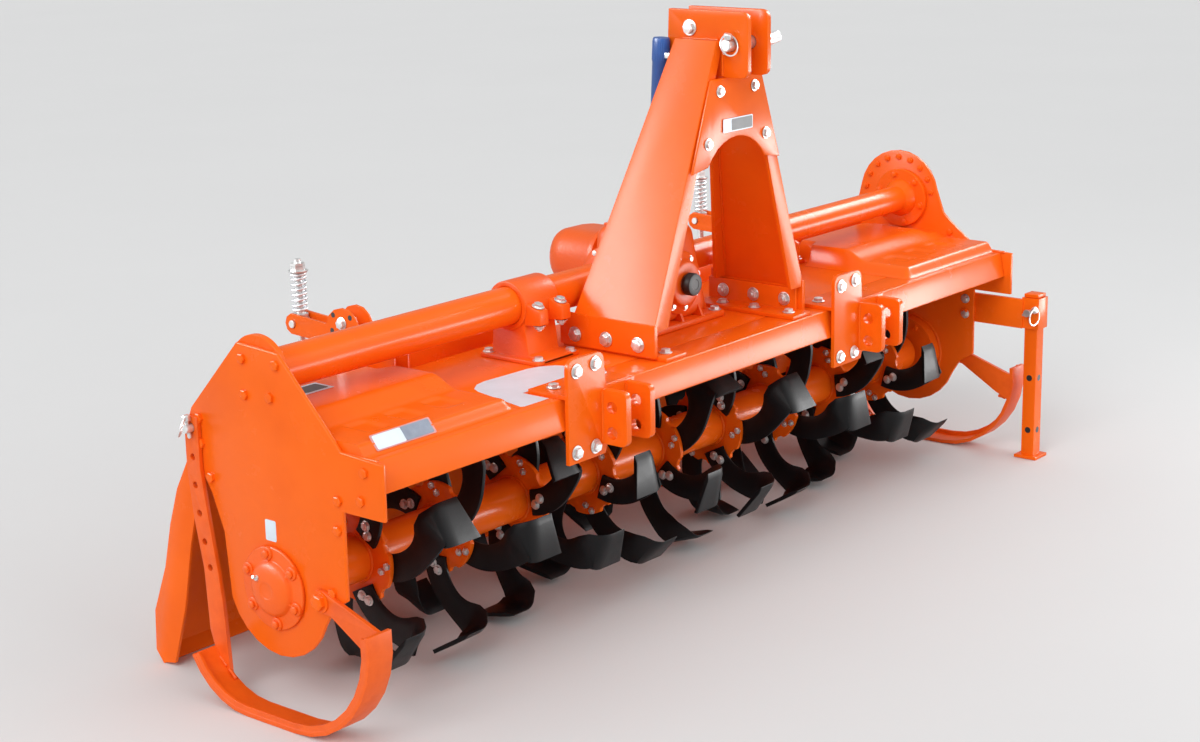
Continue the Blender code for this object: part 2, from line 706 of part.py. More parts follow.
# ---- Lower hitch brackets --------------------------------------------------------------------
def hitch_bracket(side_name, side):
    """A base plate on the beam, with a tab at its left for the bolts, and two ears."""
    middle = side * SLOT_MIDDLE
    face = BEAM_Y[0] - 0.012 - GAP
    left, step, right = middle - 0.134, middle - 0.034, middle + 0.052
    low, high = BRACKET_Z
    shoulder = EAR_Z[1] + 0.004
    outline = ([(left, low), (step, low), (step + 0.006, EAR_Z[0] - 0.006),
                (right, EAR_Z[0] - 0.006), (right, shoulder), (step + 0.004, shoulder)]
               + arc((step - 0.016, high - 0.016), 0.016, 0, 90, 3)
               + arc((left + 0.016, high - 0.016), 0.016, 90, 180, 3))
    base = extruded(f"hitch_bracket_{side_name}", "Y", outline, (face - 0.008, face))
    join(base, box("tab", (left + 0.002, right - 0.002), (face - 0.004, BEAM_Y[1]),
                   (DECK_Z + GAP, DECK_Z + 0.008)))
    outline = ([(face - 0.006, EAR_Z[0])]
               + arc((EAR_FRONT + 0.012, EAR_Z[0] + 0.012), 0.012, 270, 180, 3)
               + arc((EAR_FRONT + 0.012, EAR_Z[1] - 0.012), 0.012, 180, 90, 3)
               + [(face - 0.006, EAR_Z[1])])
    holes = [circle((EAR_HOLE_Y, z), EAR_HOLE_RADIUS) for z in EAR_HOLE_Z]
    for way in (-1, 1):
        near = middle + way * SLOT_HALF
        join(base, extruded("ear", "X", outline, sorted((near, near + way * EAR_PLATE)), holes))
    return base


# ---- Skids -----------------------------------------------------------------------------------
def skid_line(inset=0.0, shorter=0):
    """A line inset from a skid's underside, from its raised front to its rear end."""
    floor = -AXLE_HEIGHT
    front = arc((-0.090, floor + 0.185), 0.185 - inset, 172 + shorter, 270, 8)
    rear = arc((0.030, floor + 0.150), 0.150 - inset, 270, 332 - shorter, 5)
    return front + rear


def skid(side_name, side):
    pivot = new_empty(f"skid_{side_name}_pivot", (side * HALF_WIDTH, *SKID_PIVOT), ROOT)
    x_in, x_out = SKID_X
    arm_span = sorted((side * x_in, side * (x_in + BAR)))
    runner = extruded(f"skid_{side_name}", "X", band(skid_line(), SKID_SOLE),
                      sorted((side * (x_in + 0.0005), side * x_out)))
    rim = extruded("rim", "X", band(skid_line(0.002, 1), SKID_RIM),
                   sorted((side * (x_out - 0.0065), side * (x_out - 0.0005))))
    front_arm = ([(-0.271, -0.028), (-0.263, -0.088), (-0.230, -0.072), (-0.140, -0.018)]
                 + arc(SKID_PIVOT, 0.020, -60, 110, 4))
    hole = circle(SKID_PIVOT, SKID_PIN_RADIUS + 0.0005)
    arm = extruded("front_arm", "X", front_arm, arm_span, [hole])
    rear_arm = [(0.120, -0.184), (0.150, -0.158), (0.166, -0.110), (0.172, 0.000), (0.190, 0.090),
                (0.200, 0.180), (0.200, 0.272), (0.166, 0.272), (0.166, 0.180), (0.152, 0.090),
                (0.136, 0.000), (0.128, -0.060)]
    pins = [circle((y, z), 0.0065, 8) for y, z in (
        (0.183, 0.200), (0.181, 0.150), (0.175, 0.100), (0.166, 0.050), (0.156, 0.005))]
    pins.append(circle(LOCK_PIN, 0.0090, 12))
    rear = extruded("rear_arm", "X", rear_arm, arm_span, pins)
    join(runner, rim, arm, rear)
    runner = carry(runner, pivot)
    stud_span = sorted((side * (HALF_WIDTH + GAP), side * (x_in + BAR + 0.010)))
    stud = cylinder(f"skid_{side_name}_pivot_pin", "X", stud_span, SKID_PIVOT, SKID_PIN_RADIUS)
    lock_span = sorted((side * (HALF_WIDTH + 0.002), side * (x_in + BAR + 0.014)))
    lock = cylinder(f"skid_{side_name}_lock_pin", "X", lock_span, LOCK_PIN, 0.0082, segments=12)
    carry(lock, pivot)
    return runner, stud


# ---- Parking stand ---------------------------------------------------------------------------
STAND = new_empty("stand_slide", (STAND_X, STAND_Y, STAND_SLEEVE_Z[0]), ROOT)


def parking_stand():
    half = STAND_LEG / 2
    outer = half + GAP * 2 + STAND_WALL
    low, high = STAND_SLEEVE_Z
    room = half + GAP * 2
    frame = [(STAND_X - outer, STAND_Y - outer), (STAND_X + outer, STAND_Y - outer),
             (STAND_X + outer, STAND_Y + outer), (STAND_X - outer, STAND_Y + outer)]
    inside = [(STAND_X - room, STAND_Y - room), (STAND_X + room, STAND_Y - room),
              (STAND_X + room, STAND_Y + room), (STAND_X - room, STAND_Y + room)]
    sleeve = extruded("stand_sleeve", "Z", frame, (low, high), [inside])
    bar = box("bar", (HALF_WIDTH + GAP, HALF_WIDTH + 0.010), (STAND_Y + outer - 0.004, -0.118),
              (low, high - 0.004))
    join(sleeve, bar)
    leg = box("stand_leg", (STAND_X - half, STAND_X + half), (STAND_Y - half, STAND_Y + half),
              (-AXLE_HEIGHT + 0.004, high + 0.004))
    foot_half = STAND_FOOT / 2
    foot = box("foot", (STAND_X - foot_half, STAND_X + foot_half),
               (STAND_Y - foot_half, STAND_Y + foot_half), (-AXLE_HEIGHT, -AXLE_HEIGHT + 0.007))
    cap = box("cap", (STAND_X - half - 0.002, STAND_X + half + 0.002),
              (STAND_Y - half - 0.002, STAND_Y + half + 0.002), (high + 0.001, high + 0.009))
    join(leg, foot, cap)
    return carry(leg, STAND)


# ---- Spring rods -----------------------------------------------------------------------------
CHEEK_INNER = 0.0150        # half the room between the two cheeks of a bracket
CHEEK = 0.006
TRUNNION_PIN_RADIUS = 0.0075
ROD_ALONG = (Vector((0, *TRUNNION)) - Vector((0, *ROD_EYE))).normalized()


def spring_bracket(name, x):
    """Two cheeks on the deck that reach back to the trunnion, with the round hole plate."""
    start = SHAFT_Y + MAIN_TUBE_RADIUS + 0.007
    base = box(name, (x - 0.040, x + 0.040), (start, DECK_FLAT_END - 0.002),
               (DECK_Z + GAP, DECK_Z + 0.008))
    low = DECK_Z + 0.006
    outline = ([(start + 0.002, low), (DECK_FLAT_END - 0.004, low), (0.150, 0.302), (0.250, 0.316)]
               + arc(TRUNNION, 0.020, -75, 75, 4) + arc((0.200, 0.345), 0.042, 10, 165, 6)
               + [(start + 0.002, 0.310)])
    hole = circle(TRUNNION, TRUNNION_PIN_RADIUS + 0.0006)
    for side in (-1, 1):
        near = x + side * CHEEK_INNER
        join(base, extruded("cheek", "X", outline, sorted((near, near + side * CHEEK)), [hole]))
    return base


def trunnion(name, x, pivot):
    block = cylinder(name, "X", (x - CHEEK_INNER + 0.001, x + CHEEK_INNER - 0.001), TRUNNION, 0.0125)
    reach = CHEEK_INNER + CHEEK
    pin = cylinder("pin", "X", (x - reach, x + reach), TRUNNION, TRUNNION_PIN_RADIUS)
    centre = Vector((x, *TRUNNION))
    room = bar_between("rod_room", centre - ROD_ALONG * 0.03, centre + ROD_ALONG * 0.03,
                       ROD_RADIUS + 0.0005)
    return carry(cut(join(block, pin), room), pivot)


def spring_rod(name, x, pivot):
    centre, eye = Vector((x, *TRUNNION)), Vector((x, *ROD_EYE))
    top = centre + ROD_ALONG * ROD_TOP
    rod = bar_between(name, eye + ROD_ALONG * 0.010, top, ROD_RADIUS)
    ring = cylinder("eye", "X", (x - 0.007, x + 0.007), ROD_EYE, 0.0145, segments=16)
    pin = cylinder("eye_pin", "X", (x - LUG_GAP - 0.010, x + LUG_GAP + 0.010), ROD_EYE, 0.006,
                   segments=12)
    nut = bar_between("nut", top - ROD_ALONG * 0.022, top - ROD_ALONG * 0.008, 0.0155, segments=6)
    washer = bar_between("washer", top - ROD_ALONG * 0.025, top - ROD_ALONG * 0.020, 0.019)
    return carry(join(rod, ring, pin, nut, washer), pivot)


def spring(name, x, pivot):
    """The coil between the trunnion and the washer at the rod's top."""
    low, high = 0.0230, ROD_TOP - 0.0255 - SPRING_WIRE
    steps = SPRING_TURNS * 10
    side = ROD_ALONG.cross(Vector((1, 0, 0)))
    points = []
    for i in range(steps + 1):
        angle = 2 * math.pi * i / 10
        along = low + (high - low) * i / steps
        around = Vector((1, 0, 0)) * math.cos(angle) + side * math.sin(angle)
        points.append(ROD_ALONG * along + around * (SPRING_RADIUS - SPRING_WIRE))
    curve = bpy.data.curves.new(name, "CURVE")
    curve.dimensions = "3D"
    curve.bevel_depth = SPRING_WIRE
    curve.bevel_resolution = 0
    curve.use_fill_caps = True
    spline(curve, points, False)
    made = bpy.data.objects.new(name, curve)
    made.parent = pivot
    PARTS.objects.link(made)


# ---- Assembly --------------------------------------------------------------------------------
def colour(name, rgb, roughness, metallic):
    made = bpy.data.materials.new(name)
    made.use_nodes = True
    shader = made.node_tree.nodes["Principled BSDF"]
    shader.inputs["Base Color"].default_value = (*rgb, 1)
    shader.inputs["Roughness"].default_value = roughness
    shader.inputs["Metallic"].default_value = metallic
    return made


def paint():
    """Gives each piece its own material, orange unless its name says otherwise."""
    finishes = (("pto_cap", BLACK, 0.45, 0.0), ("document_holder", BLUE, 0.4, 0.0),
                ("pin", STEEL, 0.35, 1.0), ("spring_rod", STEEL, 0.35, 1.0),
                ("trunnion", STEEL, 0.35, 1.0), ("rod_spring", STEEL, 0.3, 1.0),
                ("pto_shaft", STEEL, 0.3, 1.0))
    for item in PARTS.objects:
        if item.type == "EMPTY":
            continue
        rgb, roughness, metallic = ORANGE, 0.3, 0.0
        for word, *finish in finishes:
            if word in item.name:
                rgb, roughness, metallic = finish
        item.data.materials.clear()
        item.data.materials.append(colour(item.name, rgb, roughness, metallic))
        if item.type == "MESH":
            item.data.shade_smooth()
            item.data.set_sharp_from_angle(angle=math.radians(35))


def build():
    rotor()
    left_plate()
    right_plate()
    gear_case()
    bearing_cover()
    front_beam()
    deck()
    hinge_rod()
    trailing_board()
    inner_side = HALF_WIDTH - PLATE - GAP
    gearbox_side = GEARBOX_HALF + 0.012 + GAP
    shaft_tube("main_tube", -inner_side, -gearbox_side, MAIN_TUBE_RADIUS, True)
    shaft_tube("drive_tube", gearbox_side, inner_side, DRIVE_TUBE_RADIUS, False)
    tube_clamp()
    gearbox()
    gearbox_rear_cover()
    pto_shaft()
    mirrored("mast_leg_right", mast_leg())
    mirrored("mast_foot_right", mast_foot_bracket())
    mirrored("clevis_plate_right", clevis_plate())
    clevis_spacer()
    top_link_pin()
    arch_plate()
    document_holder()
    parking_stand()
    for side_name, side in (("left", -1), ("right", 1)):
        hitch_bracket(side_name, side)
        skid(side_name, side)
        x = side * ROD_X
        pivot = new_empty(f"trunnion_{side_name}_axis", (x, *TRUNNION), ROOT)
        spring_bracket(f"spring_bracket_{side_name}", x)
        trunnion(f"trunnion_{side_name}", x, pivot)
        spring_rod(f"spring_rod_{side_name}", x, pivot)
        spring(f"rod_spring_{side_name}", x, pivot)
    paint()


build()
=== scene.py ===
import json
from math import acos, atan2, cos, degrees, dist, pi, radians, sin

import bmesh
import bpy
from mathutils import Matrix, Vector


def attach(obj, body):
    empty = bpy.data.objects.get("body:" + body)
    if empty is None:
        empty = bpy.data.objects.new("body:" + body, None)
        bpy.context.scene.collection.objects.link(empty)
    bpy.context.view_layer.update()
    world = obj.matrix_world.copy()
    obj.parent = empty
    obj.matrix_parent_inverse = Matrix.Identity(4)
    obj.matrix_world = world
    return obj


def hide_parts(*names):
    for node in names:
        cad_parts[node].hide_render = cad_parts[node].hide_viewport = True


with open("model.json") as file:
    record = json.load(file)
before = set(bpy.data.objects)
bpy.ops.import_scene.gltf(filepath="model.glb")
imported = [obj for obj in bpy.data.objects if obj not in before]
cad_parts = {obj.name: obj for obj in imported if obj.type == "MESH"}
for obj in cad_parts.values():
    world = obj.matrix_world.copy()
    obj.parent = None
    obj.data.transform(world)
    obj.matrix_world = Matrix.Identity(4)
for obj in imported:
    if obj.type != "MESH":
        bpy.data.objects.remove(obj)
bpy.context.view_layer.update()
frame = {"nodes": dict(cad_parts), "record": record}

NODES = frame["nodes"]
BODY_OF = {node: body for body, nodes in frame["record"]["behaviour"]["bodies"].items()
           for node in nodes}

SIDES = (("left", -1), ("right", 1))
# Metres. Every shape is placed from ORIGIN, the middle of the rotor's axis. Pairs are (y, z).
ORIGIN = Vector((0, -0.011, 0.222))
HALF_WIDTH = 1.025                  # outer face of each side plate
PLATE = 0.008                       # thickness of a side plate
DECK_HALF = HALF_WIDTH - 0.0085     # inner face of each side plate, less a small gap
DECK_Z = 0.262                      # top of the deck's sheet
SHAFT = (0.025, 0.366)              # the two tubes over the deck
PTO_Z = 0.354
CASE_TOP = (0.036, 0.372)           # upper boss of the gear case
CLAMP_X = (-0.405, -0.285)
BRACKET_MIDDLE = 0.4235             # slot of each lower hitch bracket
TOP_PIN = (-0.238, 0.834)
CLEVIS_BOLT = (-0.143, 0.862)
SKID_PIVOT, LOCK_PIN = (-0.117, 0.003), (0.183, 0.252)
STAND_X, STAND_Y, STAND_PIN_Z = 1.052, -0.312, 0.128
ROD_X = 0.631                       # the two spring rods
TRUNNION, ROD_EYE = (0.332, 0.34), (0.328, 0.012)
ROD_TOP = 0.122                     # a rod's length over its trunnion

# ---- Materials ----


def shader_of(name):
    made = bpy.data.materials.new(name)
    made.use_nodes = True
    return made, made.node_tree, made.node_tree.nodes["Principled BSDF"]


def node(tree, kind, links=(), **values):
    """A shader node with its sockets set; links are (socket name, output) pairs."""
    made = tree.nodes.new(kind)
    for key, value in values.items():
        if hasattr(made, key):
            setattr(made, key, value)
        else:
            made.inputs[key.replace("_", " ")].default_value = value
    for socket, output in links:
        tree.links.new(output, made.inputs[socket])
    return made


def ramp(tree, factor, stops):
    made = node(tree, "ShaderNodeValToRGB", [("Fac", factor)])
    elements = made.color_ramp.elements
    while len(elements) < len(stops):
        elements.new(0.5)
    for element, (place, colour) in zip(elements, stops):
        element.position = place
        element.color = (*colour, 1)
    return made.outputs["Color"]


def grain(tree, scale, detail=4.0, roughness=0.6, stretch=(1, 1, 1)):
    where = node(tree, "ShaderNodeTexCoord")
    mapped = node(tree, "ShaderNodeMapping", [("Vector", where.outputs["Object"])], Scale=stretch)
    made = node(tree, "ShaderNodeTexNoise", [("Vector", mapped.outputs["Vector"])], Scale=scale,
                Detail=detail, Roughness=roughness)
    return made.outputs["Fac"]


def bump(tree, shader, height, strength, distance):
    made = node(tree, "ShaderNodeBump", [("Height", height)], Strength=strength, Distance=distance)
    tree.links.new(made.outputs["Normal"], shader.inputs["Normal"])


def finish(name, colours, rough, metallic=0.0, coat=0.0, scale=6.0, fine=260.0, depth=0.0004,
           strength=0.25, stretch=(1, 1, 1), specular=0.5):
    """A surface whose colour drifts through colours, with varied gloss and fine relief."""
    made, tree, shader = shader_of(name)
    broad = grain(tree, scale, stretch=stretch)
    stops = [(0.3 + 0.4 * i / (len(colours) - 1), c) for i, c in enumerate(colours)]
    tree.links.new(ramp(tree, broad, stops), shader.inputs["Base Color"])
    small = grain(tree, fine, 3.0, 0.5, stretch)
    patch = grain(tree, scale * 3.1, 5.0, 0.65, stretch)
    spread = node(tree, "ShaderNodeMapRange", [("Value", patch)], To_Min=rough[0], To_Max=rough[1])
    tree.links.new(spread.outputs["Result"], shader.inputs["Roughness"])
    bump(tree, shader, small, strength, depth)
    for socket, value in (("Metallic", metallic), ("Specular IOR Level", specular),
                          ("Coat Weight", coat), ("Coat Roughness", 0.12)):
        shader.inputs[socket].default_value = value
    return made


PAINT = finish("orange_gloss", [(0.89, 0.122, 0.004), (0.97, 0.146, 0.006), (0.93, 0.132, 0.005)],
               (0.2, 0.32), coat=0.05, scale=3.0, fine=240.0, strength=0.1, specular=0.13)
CAST = finish("orange_casting", [(0.84, 0.104, 0.004), (0.95, 0.132, 0.006)], (0.34, 0.52),
              coat=0.05, scale=5.0, fine=190.0, depth=0.0009, strength=0.5, specular=0.24)
WORN = finish("orange_worn", [(0.8, 0.096, 0.004), (0.9, 0.124, 0.006), (0.84, 0.108, 0.005)],
              (0.32, 0.56), coat=0.05, scale=14.0, fine=210.0, strength=0.3, specular=0.24)
BLACK = finish("blade_black", [(0.002, 0.002, 0.0024), (0.006, 0.006, 0.0074)], (0.36, 0.54),
               coat=0.03, scale=18.0, fine=300.0, strength=0.35, specular=0.24)
ZINC = finish("zinc_plate", [(0.62, 0.63, 0.63), (0.8, 0.8, 0.79)], (0.28, 0.46), metallic=0.8,
              scale=70.0, fine=500.0, strength=0.2)
SPRING = finish("bright_spring", [(0.66, 0.69, 0.72), (0.8, 0.82, 0.84)], (0.34, 0.5),
                metallic=0.75, scale=90.0, fine=600.0, strength=0.1)
# Black plastic, and also the painted shade of the dark discs that stand for holes.
RUBBER_AND_HOLE_SHADE = finish("black_plastic", [(0.01, 0.01, 0.01), (0.018, 0.018, 0.018)], (0.45, 0.6),
                scale=30.0, fine=400.0, strength=0.3)
BLUE = finish("blue_plastic", [(0.02, 0.095, 0.36), (0.03, 0.125, 0.44)], (0.32, 0.46),
              scale=9.0, fine=350.0, strength=0.15)
WHITE = finish("label_white", [(0.66, 0.76, 0.84), (0.74, 0.85, 0.94)], (0.3, 0.42), scale=20.0,
               fine=500.0, strength=0.05)
GREY = finish("label_grey", [(0.13, 0.17, 0.25), (0.19, 0.24, 0.33)], (0.32, 0.45), scale=60.0,
              fine=500.0, strength=0.05)
DARK = finish("label_dark", [(0.03, 0.032, 0.036), (0.05, 0.052, 0.06)], (0.35, 0.5),
              scale=60.0, fine=500.0, strength=0.05)
PINK = finish("label_edge", [(0.6, 0.2, 0.19), (0.66, 0.25, 0.23)], (0.3, 0.4), scale=20.0,
              fine=500.0, strength=0.05)

# ---- Shapes ----


def smoothed(item, angle=32):
    item.data.shade_smooth()
    item.data.set_sharp_from_angle(angle=radians(angle))


def applied(item):
    """Makes the modifiers of an object part of its mesh."""
    bpy.context.view_layer.update()
    graph = bpy.context.evaluated_depsgraph_get()
    mesh = bpy.data.meshes.new_from_object(item.evaluated_get(graph))
    item.modifiers.clear()
    item.data = mesh
    return item


def bevelled(item, width, segments=2, angle=35):
    step = item.modifiers.new("edge", "BEVEL")
    step.width = width
    step.segments = segments
    step.limit_method = "ANGLE"
    step.angle_limit = radians(angle)
    step.harden_normals = False
    step.use_clamp_overlap = True
    return applied(item)


def placed(name, data):
    made = bpy.data.objects.new(name, data)
    bpy.context.collection.objects.link(made)
    return made


def piece(name, mesh, material, body="tiller", bevel=0.0, segments=2, angle=32,
          replaces=()):
    """Puts a mesh in the scene, riding on a body. A bmesh is placed from the rotor's axis."""
    if isinstance(mesh, bmesh.types.BMesh):
        mesh.transform(Matrix.Translation(ORIGIN))
        data = bpy.data.meshes.new(name)
        mesh.to_mesh(data)
        mesh.free()
        mesh = data
    item = placed(name, mesh)
    if bevel:
        bevelled(item, bevel, segments)
    item.data.materials.clear()
    item.data.materials.append(material)
    smoothed(item, angle)
    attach(item, body)
    if replaces:
        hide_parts(*replaces)
    return item


def clean_copy(name):
    """A CAD node's mesh with its flat faces joined up again."""
    mesh = NODES[name].data.copy()
    bm = bmesh.new()
    bm.from_mesh(mesh)
    bmesh.ops.remove_doubles(bm, verts=bm.verts, dist=2e-5)
    bmesh.ops.dissolve_degenerate(bm, edges=bm.edges, dist=1e-5)
    bmesh.ops.dissolve_limit(bm, verts=bm.verts, edges=bm.edges, angle_limit=radians(1.0))
    bm.to_mesh(mesh)
    bm.free()
    return mesh


def refined(name, material=PAINT, bevel=0.0015, segments=2):
    """Stands for a CAD node with the same shape, its edges rounded."""
    return piece(name + "_finish", clean_copy(name), material, BODY_OF[name],
                 bevel, segments, replaces=(name,))


def aimed(point, along):
    """The matrix that takes +Z to a direction and the origin to a point."""
    turn = Vector(along).to_track_quat("Z", "Y").to_matrix().to_4x4()
    return Matrix.Translation(Vector(point)) @ turn


def add_cone(bm, matrix, low, high, radius, end=None, segments=24):
    place = matrix @ Matrix.Translation((0, 0, (low + high) / 2))
    bmesh.ops.create_cone(bm, cap_ends=True, segments=segments, radius1=radius,
                          radius2=radius if end is None else end, depth=high - low, matrix=place)


def add_turned(bm, matrix, profile, segments=48):
    """A solid turned about +Z from (radius, height) points, lowest first, ends on the axis."""
    rings = []
    for radius, height in profile:
        if radius < 1e-6:
            rings.append([bm.verts.new(matrix @ Vector((0, 0, height)))])
            continue
        rings.append([bm.verts.new(matrix @ Vector((radius * cos(a), radius * sin(a),
                                                    height)))
                      for a in (2 * pi * i / segments for i in range(segments))])
    for low, high in zip(rings, rings[1:]):
        for i in range(segments):
            j = (i + 1) % segments
            corners = [low[i % len(low)], low[j % len(low)], high[j % len(high)],
                       high[i % len(high)]]
            corners = list(dict.fromkeys(corners))
            if len(corners) > 2:
                bm.faces.new(corners)


def add_lathe(bm, point, axis, profile, segments=48):
    """A turned solid at a point, along an axis, from (radius, height) points in millimetres."""
    add_turned(bm, aimed(point, axis), [(r / 1000, h / 1000) for r, h in profile], segments)


def add_rod(bm, point, axis, radius, length, segments=24):
    """A plain round bar from a point, along an axis."""
    add_turned(bm, aimed(point, axis), [(0, 0), (radius, 0), (radius, length), (0, length)],
               segments)


def hole_shade_disc(bm, point, axis, radius, segments):
    """A thin dark disc of painted shade, standing for the dark inside of a hole."""
    add_turned(bm, aimed(point, axis),
               [(0, -0.0004), (radius, -0.0004), (radius, 0.0002), (0, 0.0002)], segments)


def skin(bm, rings, closed=False):
    """Joins each ring of corners to the next, and caps the ends or joins them up."""
    faces = []
    for low, high in list(zip(rings, rings[1:])) + ([(rings[-1], rings[0])] if closed else []):
        for i in range(len(low)):
            j = (i + 1) % len(low)
            faces.append(bm.faces.new((low[i], low[j], high[j], high[i])))
    if not closed:
        faces += [bm.faces.new(rings[0][::-1]), bm.faces.new(rings[-1])]
    return faces


def merge(bm, other):
    """Moves one bmesh's shape into another."""
    mesh = bpy.data.meshes.new("merged")
    other.to_mesh(mesh)
    other.free()
    bm.from_mesh(mesh)


def bolts(name, bm):
    """A set of plated bolts on the fixed frame."""
    piece(name, bm, ZINC, angle=28)


def studs(name, bm):
    """A set of painted bolts on the fixed frame."""
    piece(name, bm, PAINT, angle=28)


def add_box(bm, x, y, z):
    made = bmesh.ops.create_cube(bm, size=1.0)["verts"]
    for vertex in made:
        vertex.co = [low + (high - low) * (c + 0.5) for c, (low, high) in zip(vertex.co, (x, y, z))]
    return made


def add_tube(bm, points, radius, segments=10, ripple=0.0, closed=False):
    """A round bar along points; ripple makes the wavy face of a weld bead."""
    points = [Vector(p) for p in points]
    count = len(points)
    rings = []
    side = None
    for i, point in enumerate(points):
        ahead = points[(i + 1) % count] if closed or i + 1 < count else point
        behind = points[i - 1] if closed or i else point
        along = (ahead - behind).normalized()
        if side is None:
            side = along.orthogonal().normalized()
        side = (side - along * side.dot(along)).normalized()
        up = along.cross(side)
        size = radius * (1 + ripple * sin(i * 2.1))
        rings.append([bm.verts.new(point + (side * cos(a) + up * sin(a)) * size)
                      for a in (2 * pi * k / segments for k in range(segments))])
    skin(bm, rings, closed)


def weld(bm, start, end, radius=0.0028):
    start, end = Vector(start), Vector(end)
    steps = max(4, int((end - start).length / 0.004))
    add_tube(bm, [start.lerp(end, i / steps) for i in range(steps + 1)], radius, 6, 0.16)


def weld_ring(bm, centre, axis, radius, size=0.0028):
    turn = aimed(centre, axis)
    steps = max(24, int(2 * pi * radius / 0.0045))
    points = [turn @ Vector((radius * cos(a), radius * sin(a), 0))
              for a in (2 * pi * i / steps for i in range(steps))]
    add_tube(bm, points, size, 6, 0.16, closed=True)


def bolt(bm, point, axis, size=0.0095, washer=True, nut=False, turn=0.3):
    """A hexagon head or nut on a surface, its washer under it."""
    place = aimed(point, axis) @ Matrix.Rotation(turn, 4, "Z")
    base = 0.0
    if washer:
        add_turned(bm, place, [(0, 0.0), (size * 1.42, 0.0), (size * 1.48, size * 0.05),
                               (size * 1.48, size * 0.17), (size * 1.4, size * 0.22),
                               (0, size * 0.22)], 28)
        base = size * 0.21
    height = size * 0.72
    add_cone(bm, place, base, base + height * 0.86, size * 1.12, segments=6)
    add_cone(bm, place, base + height * 0.85, base + height, size * 1.1, size * 0.9, 6)
    if nut:
        add_turned(bm, place, [(0, base), (size * 0.56, base), (size * 0.56, base + height * 1.4),
                               (size * 0.46, base + height * 1.55), (0, base + height * 1.55)], 18)
    else:
        add_turned(bm, place, [(0, base), (size * 0.72, base + height),
                               (size * 0.6, base + height * 1.06), (0, base + height * 1.04)], 18)


def arc(centre, radius, start, end, steps):
    """Points on an arc, its angles in degrees."""
    return [around(centre, radius, radians(start + (end - start) * i / steps))
            for i in range(steps + 1)]


def around(centre, radius, angle):
    """The point at an angle round a centre."""
    return centre[0] + radius * cos(angle), centre[1] + radius * sin(angle)


def circle(centre, radius, count=32):
    return arc(centre, radius, 0, 360 - 360 / count, count - 1)


def box_outline(left, right, low, high):
    return [(left, low), (right, low), (right, high), (left, high)]


FLAT = {"X": Matrix(((0, 0, 1, 0), (1, 0, 0, 0), (0, 1, 0, 0), (0, 0, 0, 1))),
        "Y": Matrix(((1, 0, 0, 0), (0, 0, -1, 0), (0, 1, 0, 0), (0, 0, 0, 1))),
        "Z": Matrix.Identity(4)}


def flat_mesh(axis, outline, span, holes=()):
    """A flat outline, less its holes, carried along an axis and placed from the rotor's axis."""
    curve = bpy.data.curves.new("outline", "CURVE")
    curve.dimensions = "2D"
    curve.fill_mode = "BOTH"
    curve.extrude = (span[1] - span[0]) / 2
    for loop in (outline, *holes):
        made = curve.splines.new("POLY")
        made.points.add(len(loop) - 1)
        for point, place in zip(made.points, loop):
            point.co = (*place, 0, 1)
        made.use_cyclic_u = True
    drawn = placed("outline", curve)
    bpy.context.view_layer.update()
    graph = bpy.context.evaluated_depsgraph_get()
    mesh = bpy.data.meshes.new_from_object(drawn.evaluated_get(graph))
    bpy.data.objects.remove(drawn)
    bm = bmesh.new()
    bm.from_mesh(mesh)
    bmesh.ops.remove_doubles(bm, verts=bm.verts, dist=1e-6)
    bmesh.ops.dissolve_limit(bm, verts=bm.verts, edges=bm.edges, angle_limit=radians(0.5))
    bmesh.ops.recalc_face_normals(bm, faces=bm.faces)
    middle = (span[0] + span[1]) / 2
    offset = {"X": (middle, 0, 0), "Y": (0, middle, 0), "Z": (0, 0, middle)}[axis]
    bm.transform(Matrix.Translation(offset) @ FLAT[axis])
    return bm


# ---- Camera, light and floor ----


def camera():
    data = bpy.data.cameras.new("camera")
    data.sensor_width = 36
    data.lens = 65.0
    data.shift_y = -0.0168
    data.clip_end = 60
    made = placed("camera", data)
    azimuth, elevation, roll = radians(50.6385), radians(13.9808), radians(-1.0564)
    forward = Vector((sin(azimuth) * cos(elevation),
                      cos(azimuth) * cos(elevation), -sin(elevation)))
    right = forward.cross(Vector((0, 0, 1))).normalized()
    up = right.cross(forward)
    turned = right * cos(roll) + up * sin(roll)
    upright = up * cos(roll) - right * sin(roll)
    place = Vector((-3.34614, -2.63266, 1.48427))
    made.matrix_world = Matrix([(turned[i], upright[i], -forward[i], place[i])
                                for i in range(3)] + [(0, 0, 0, 1)])
    bpy.context.scene.camera = made


def shine(name, place, target, size, power, height):
    """A soft lamp that shows only in reflections."""
    data = bpy.data.lights.new(name, "AREA")
    data.shape = "RECTANGLE"
    data.size, data.size_y = size, height
    data.energy = power
    made = placed(name, data)
    made.location = place
    made.rotation_euler = (Vector(place) - Vector(target)).to_track_quat("Z", "Y").to_euler()
    made.visible_camera = False
    made.visible_diffuse = False


def sun(name, toward, strength, softness):
    data = bpy.data.lights.new(name, "SUN")
    data.energy = strength
    data.angle = radians(softness)
    made = placed(name, data)
    made.rotation_euler = Vector(toward).to_track_quat("Z", "Y").to_euler()


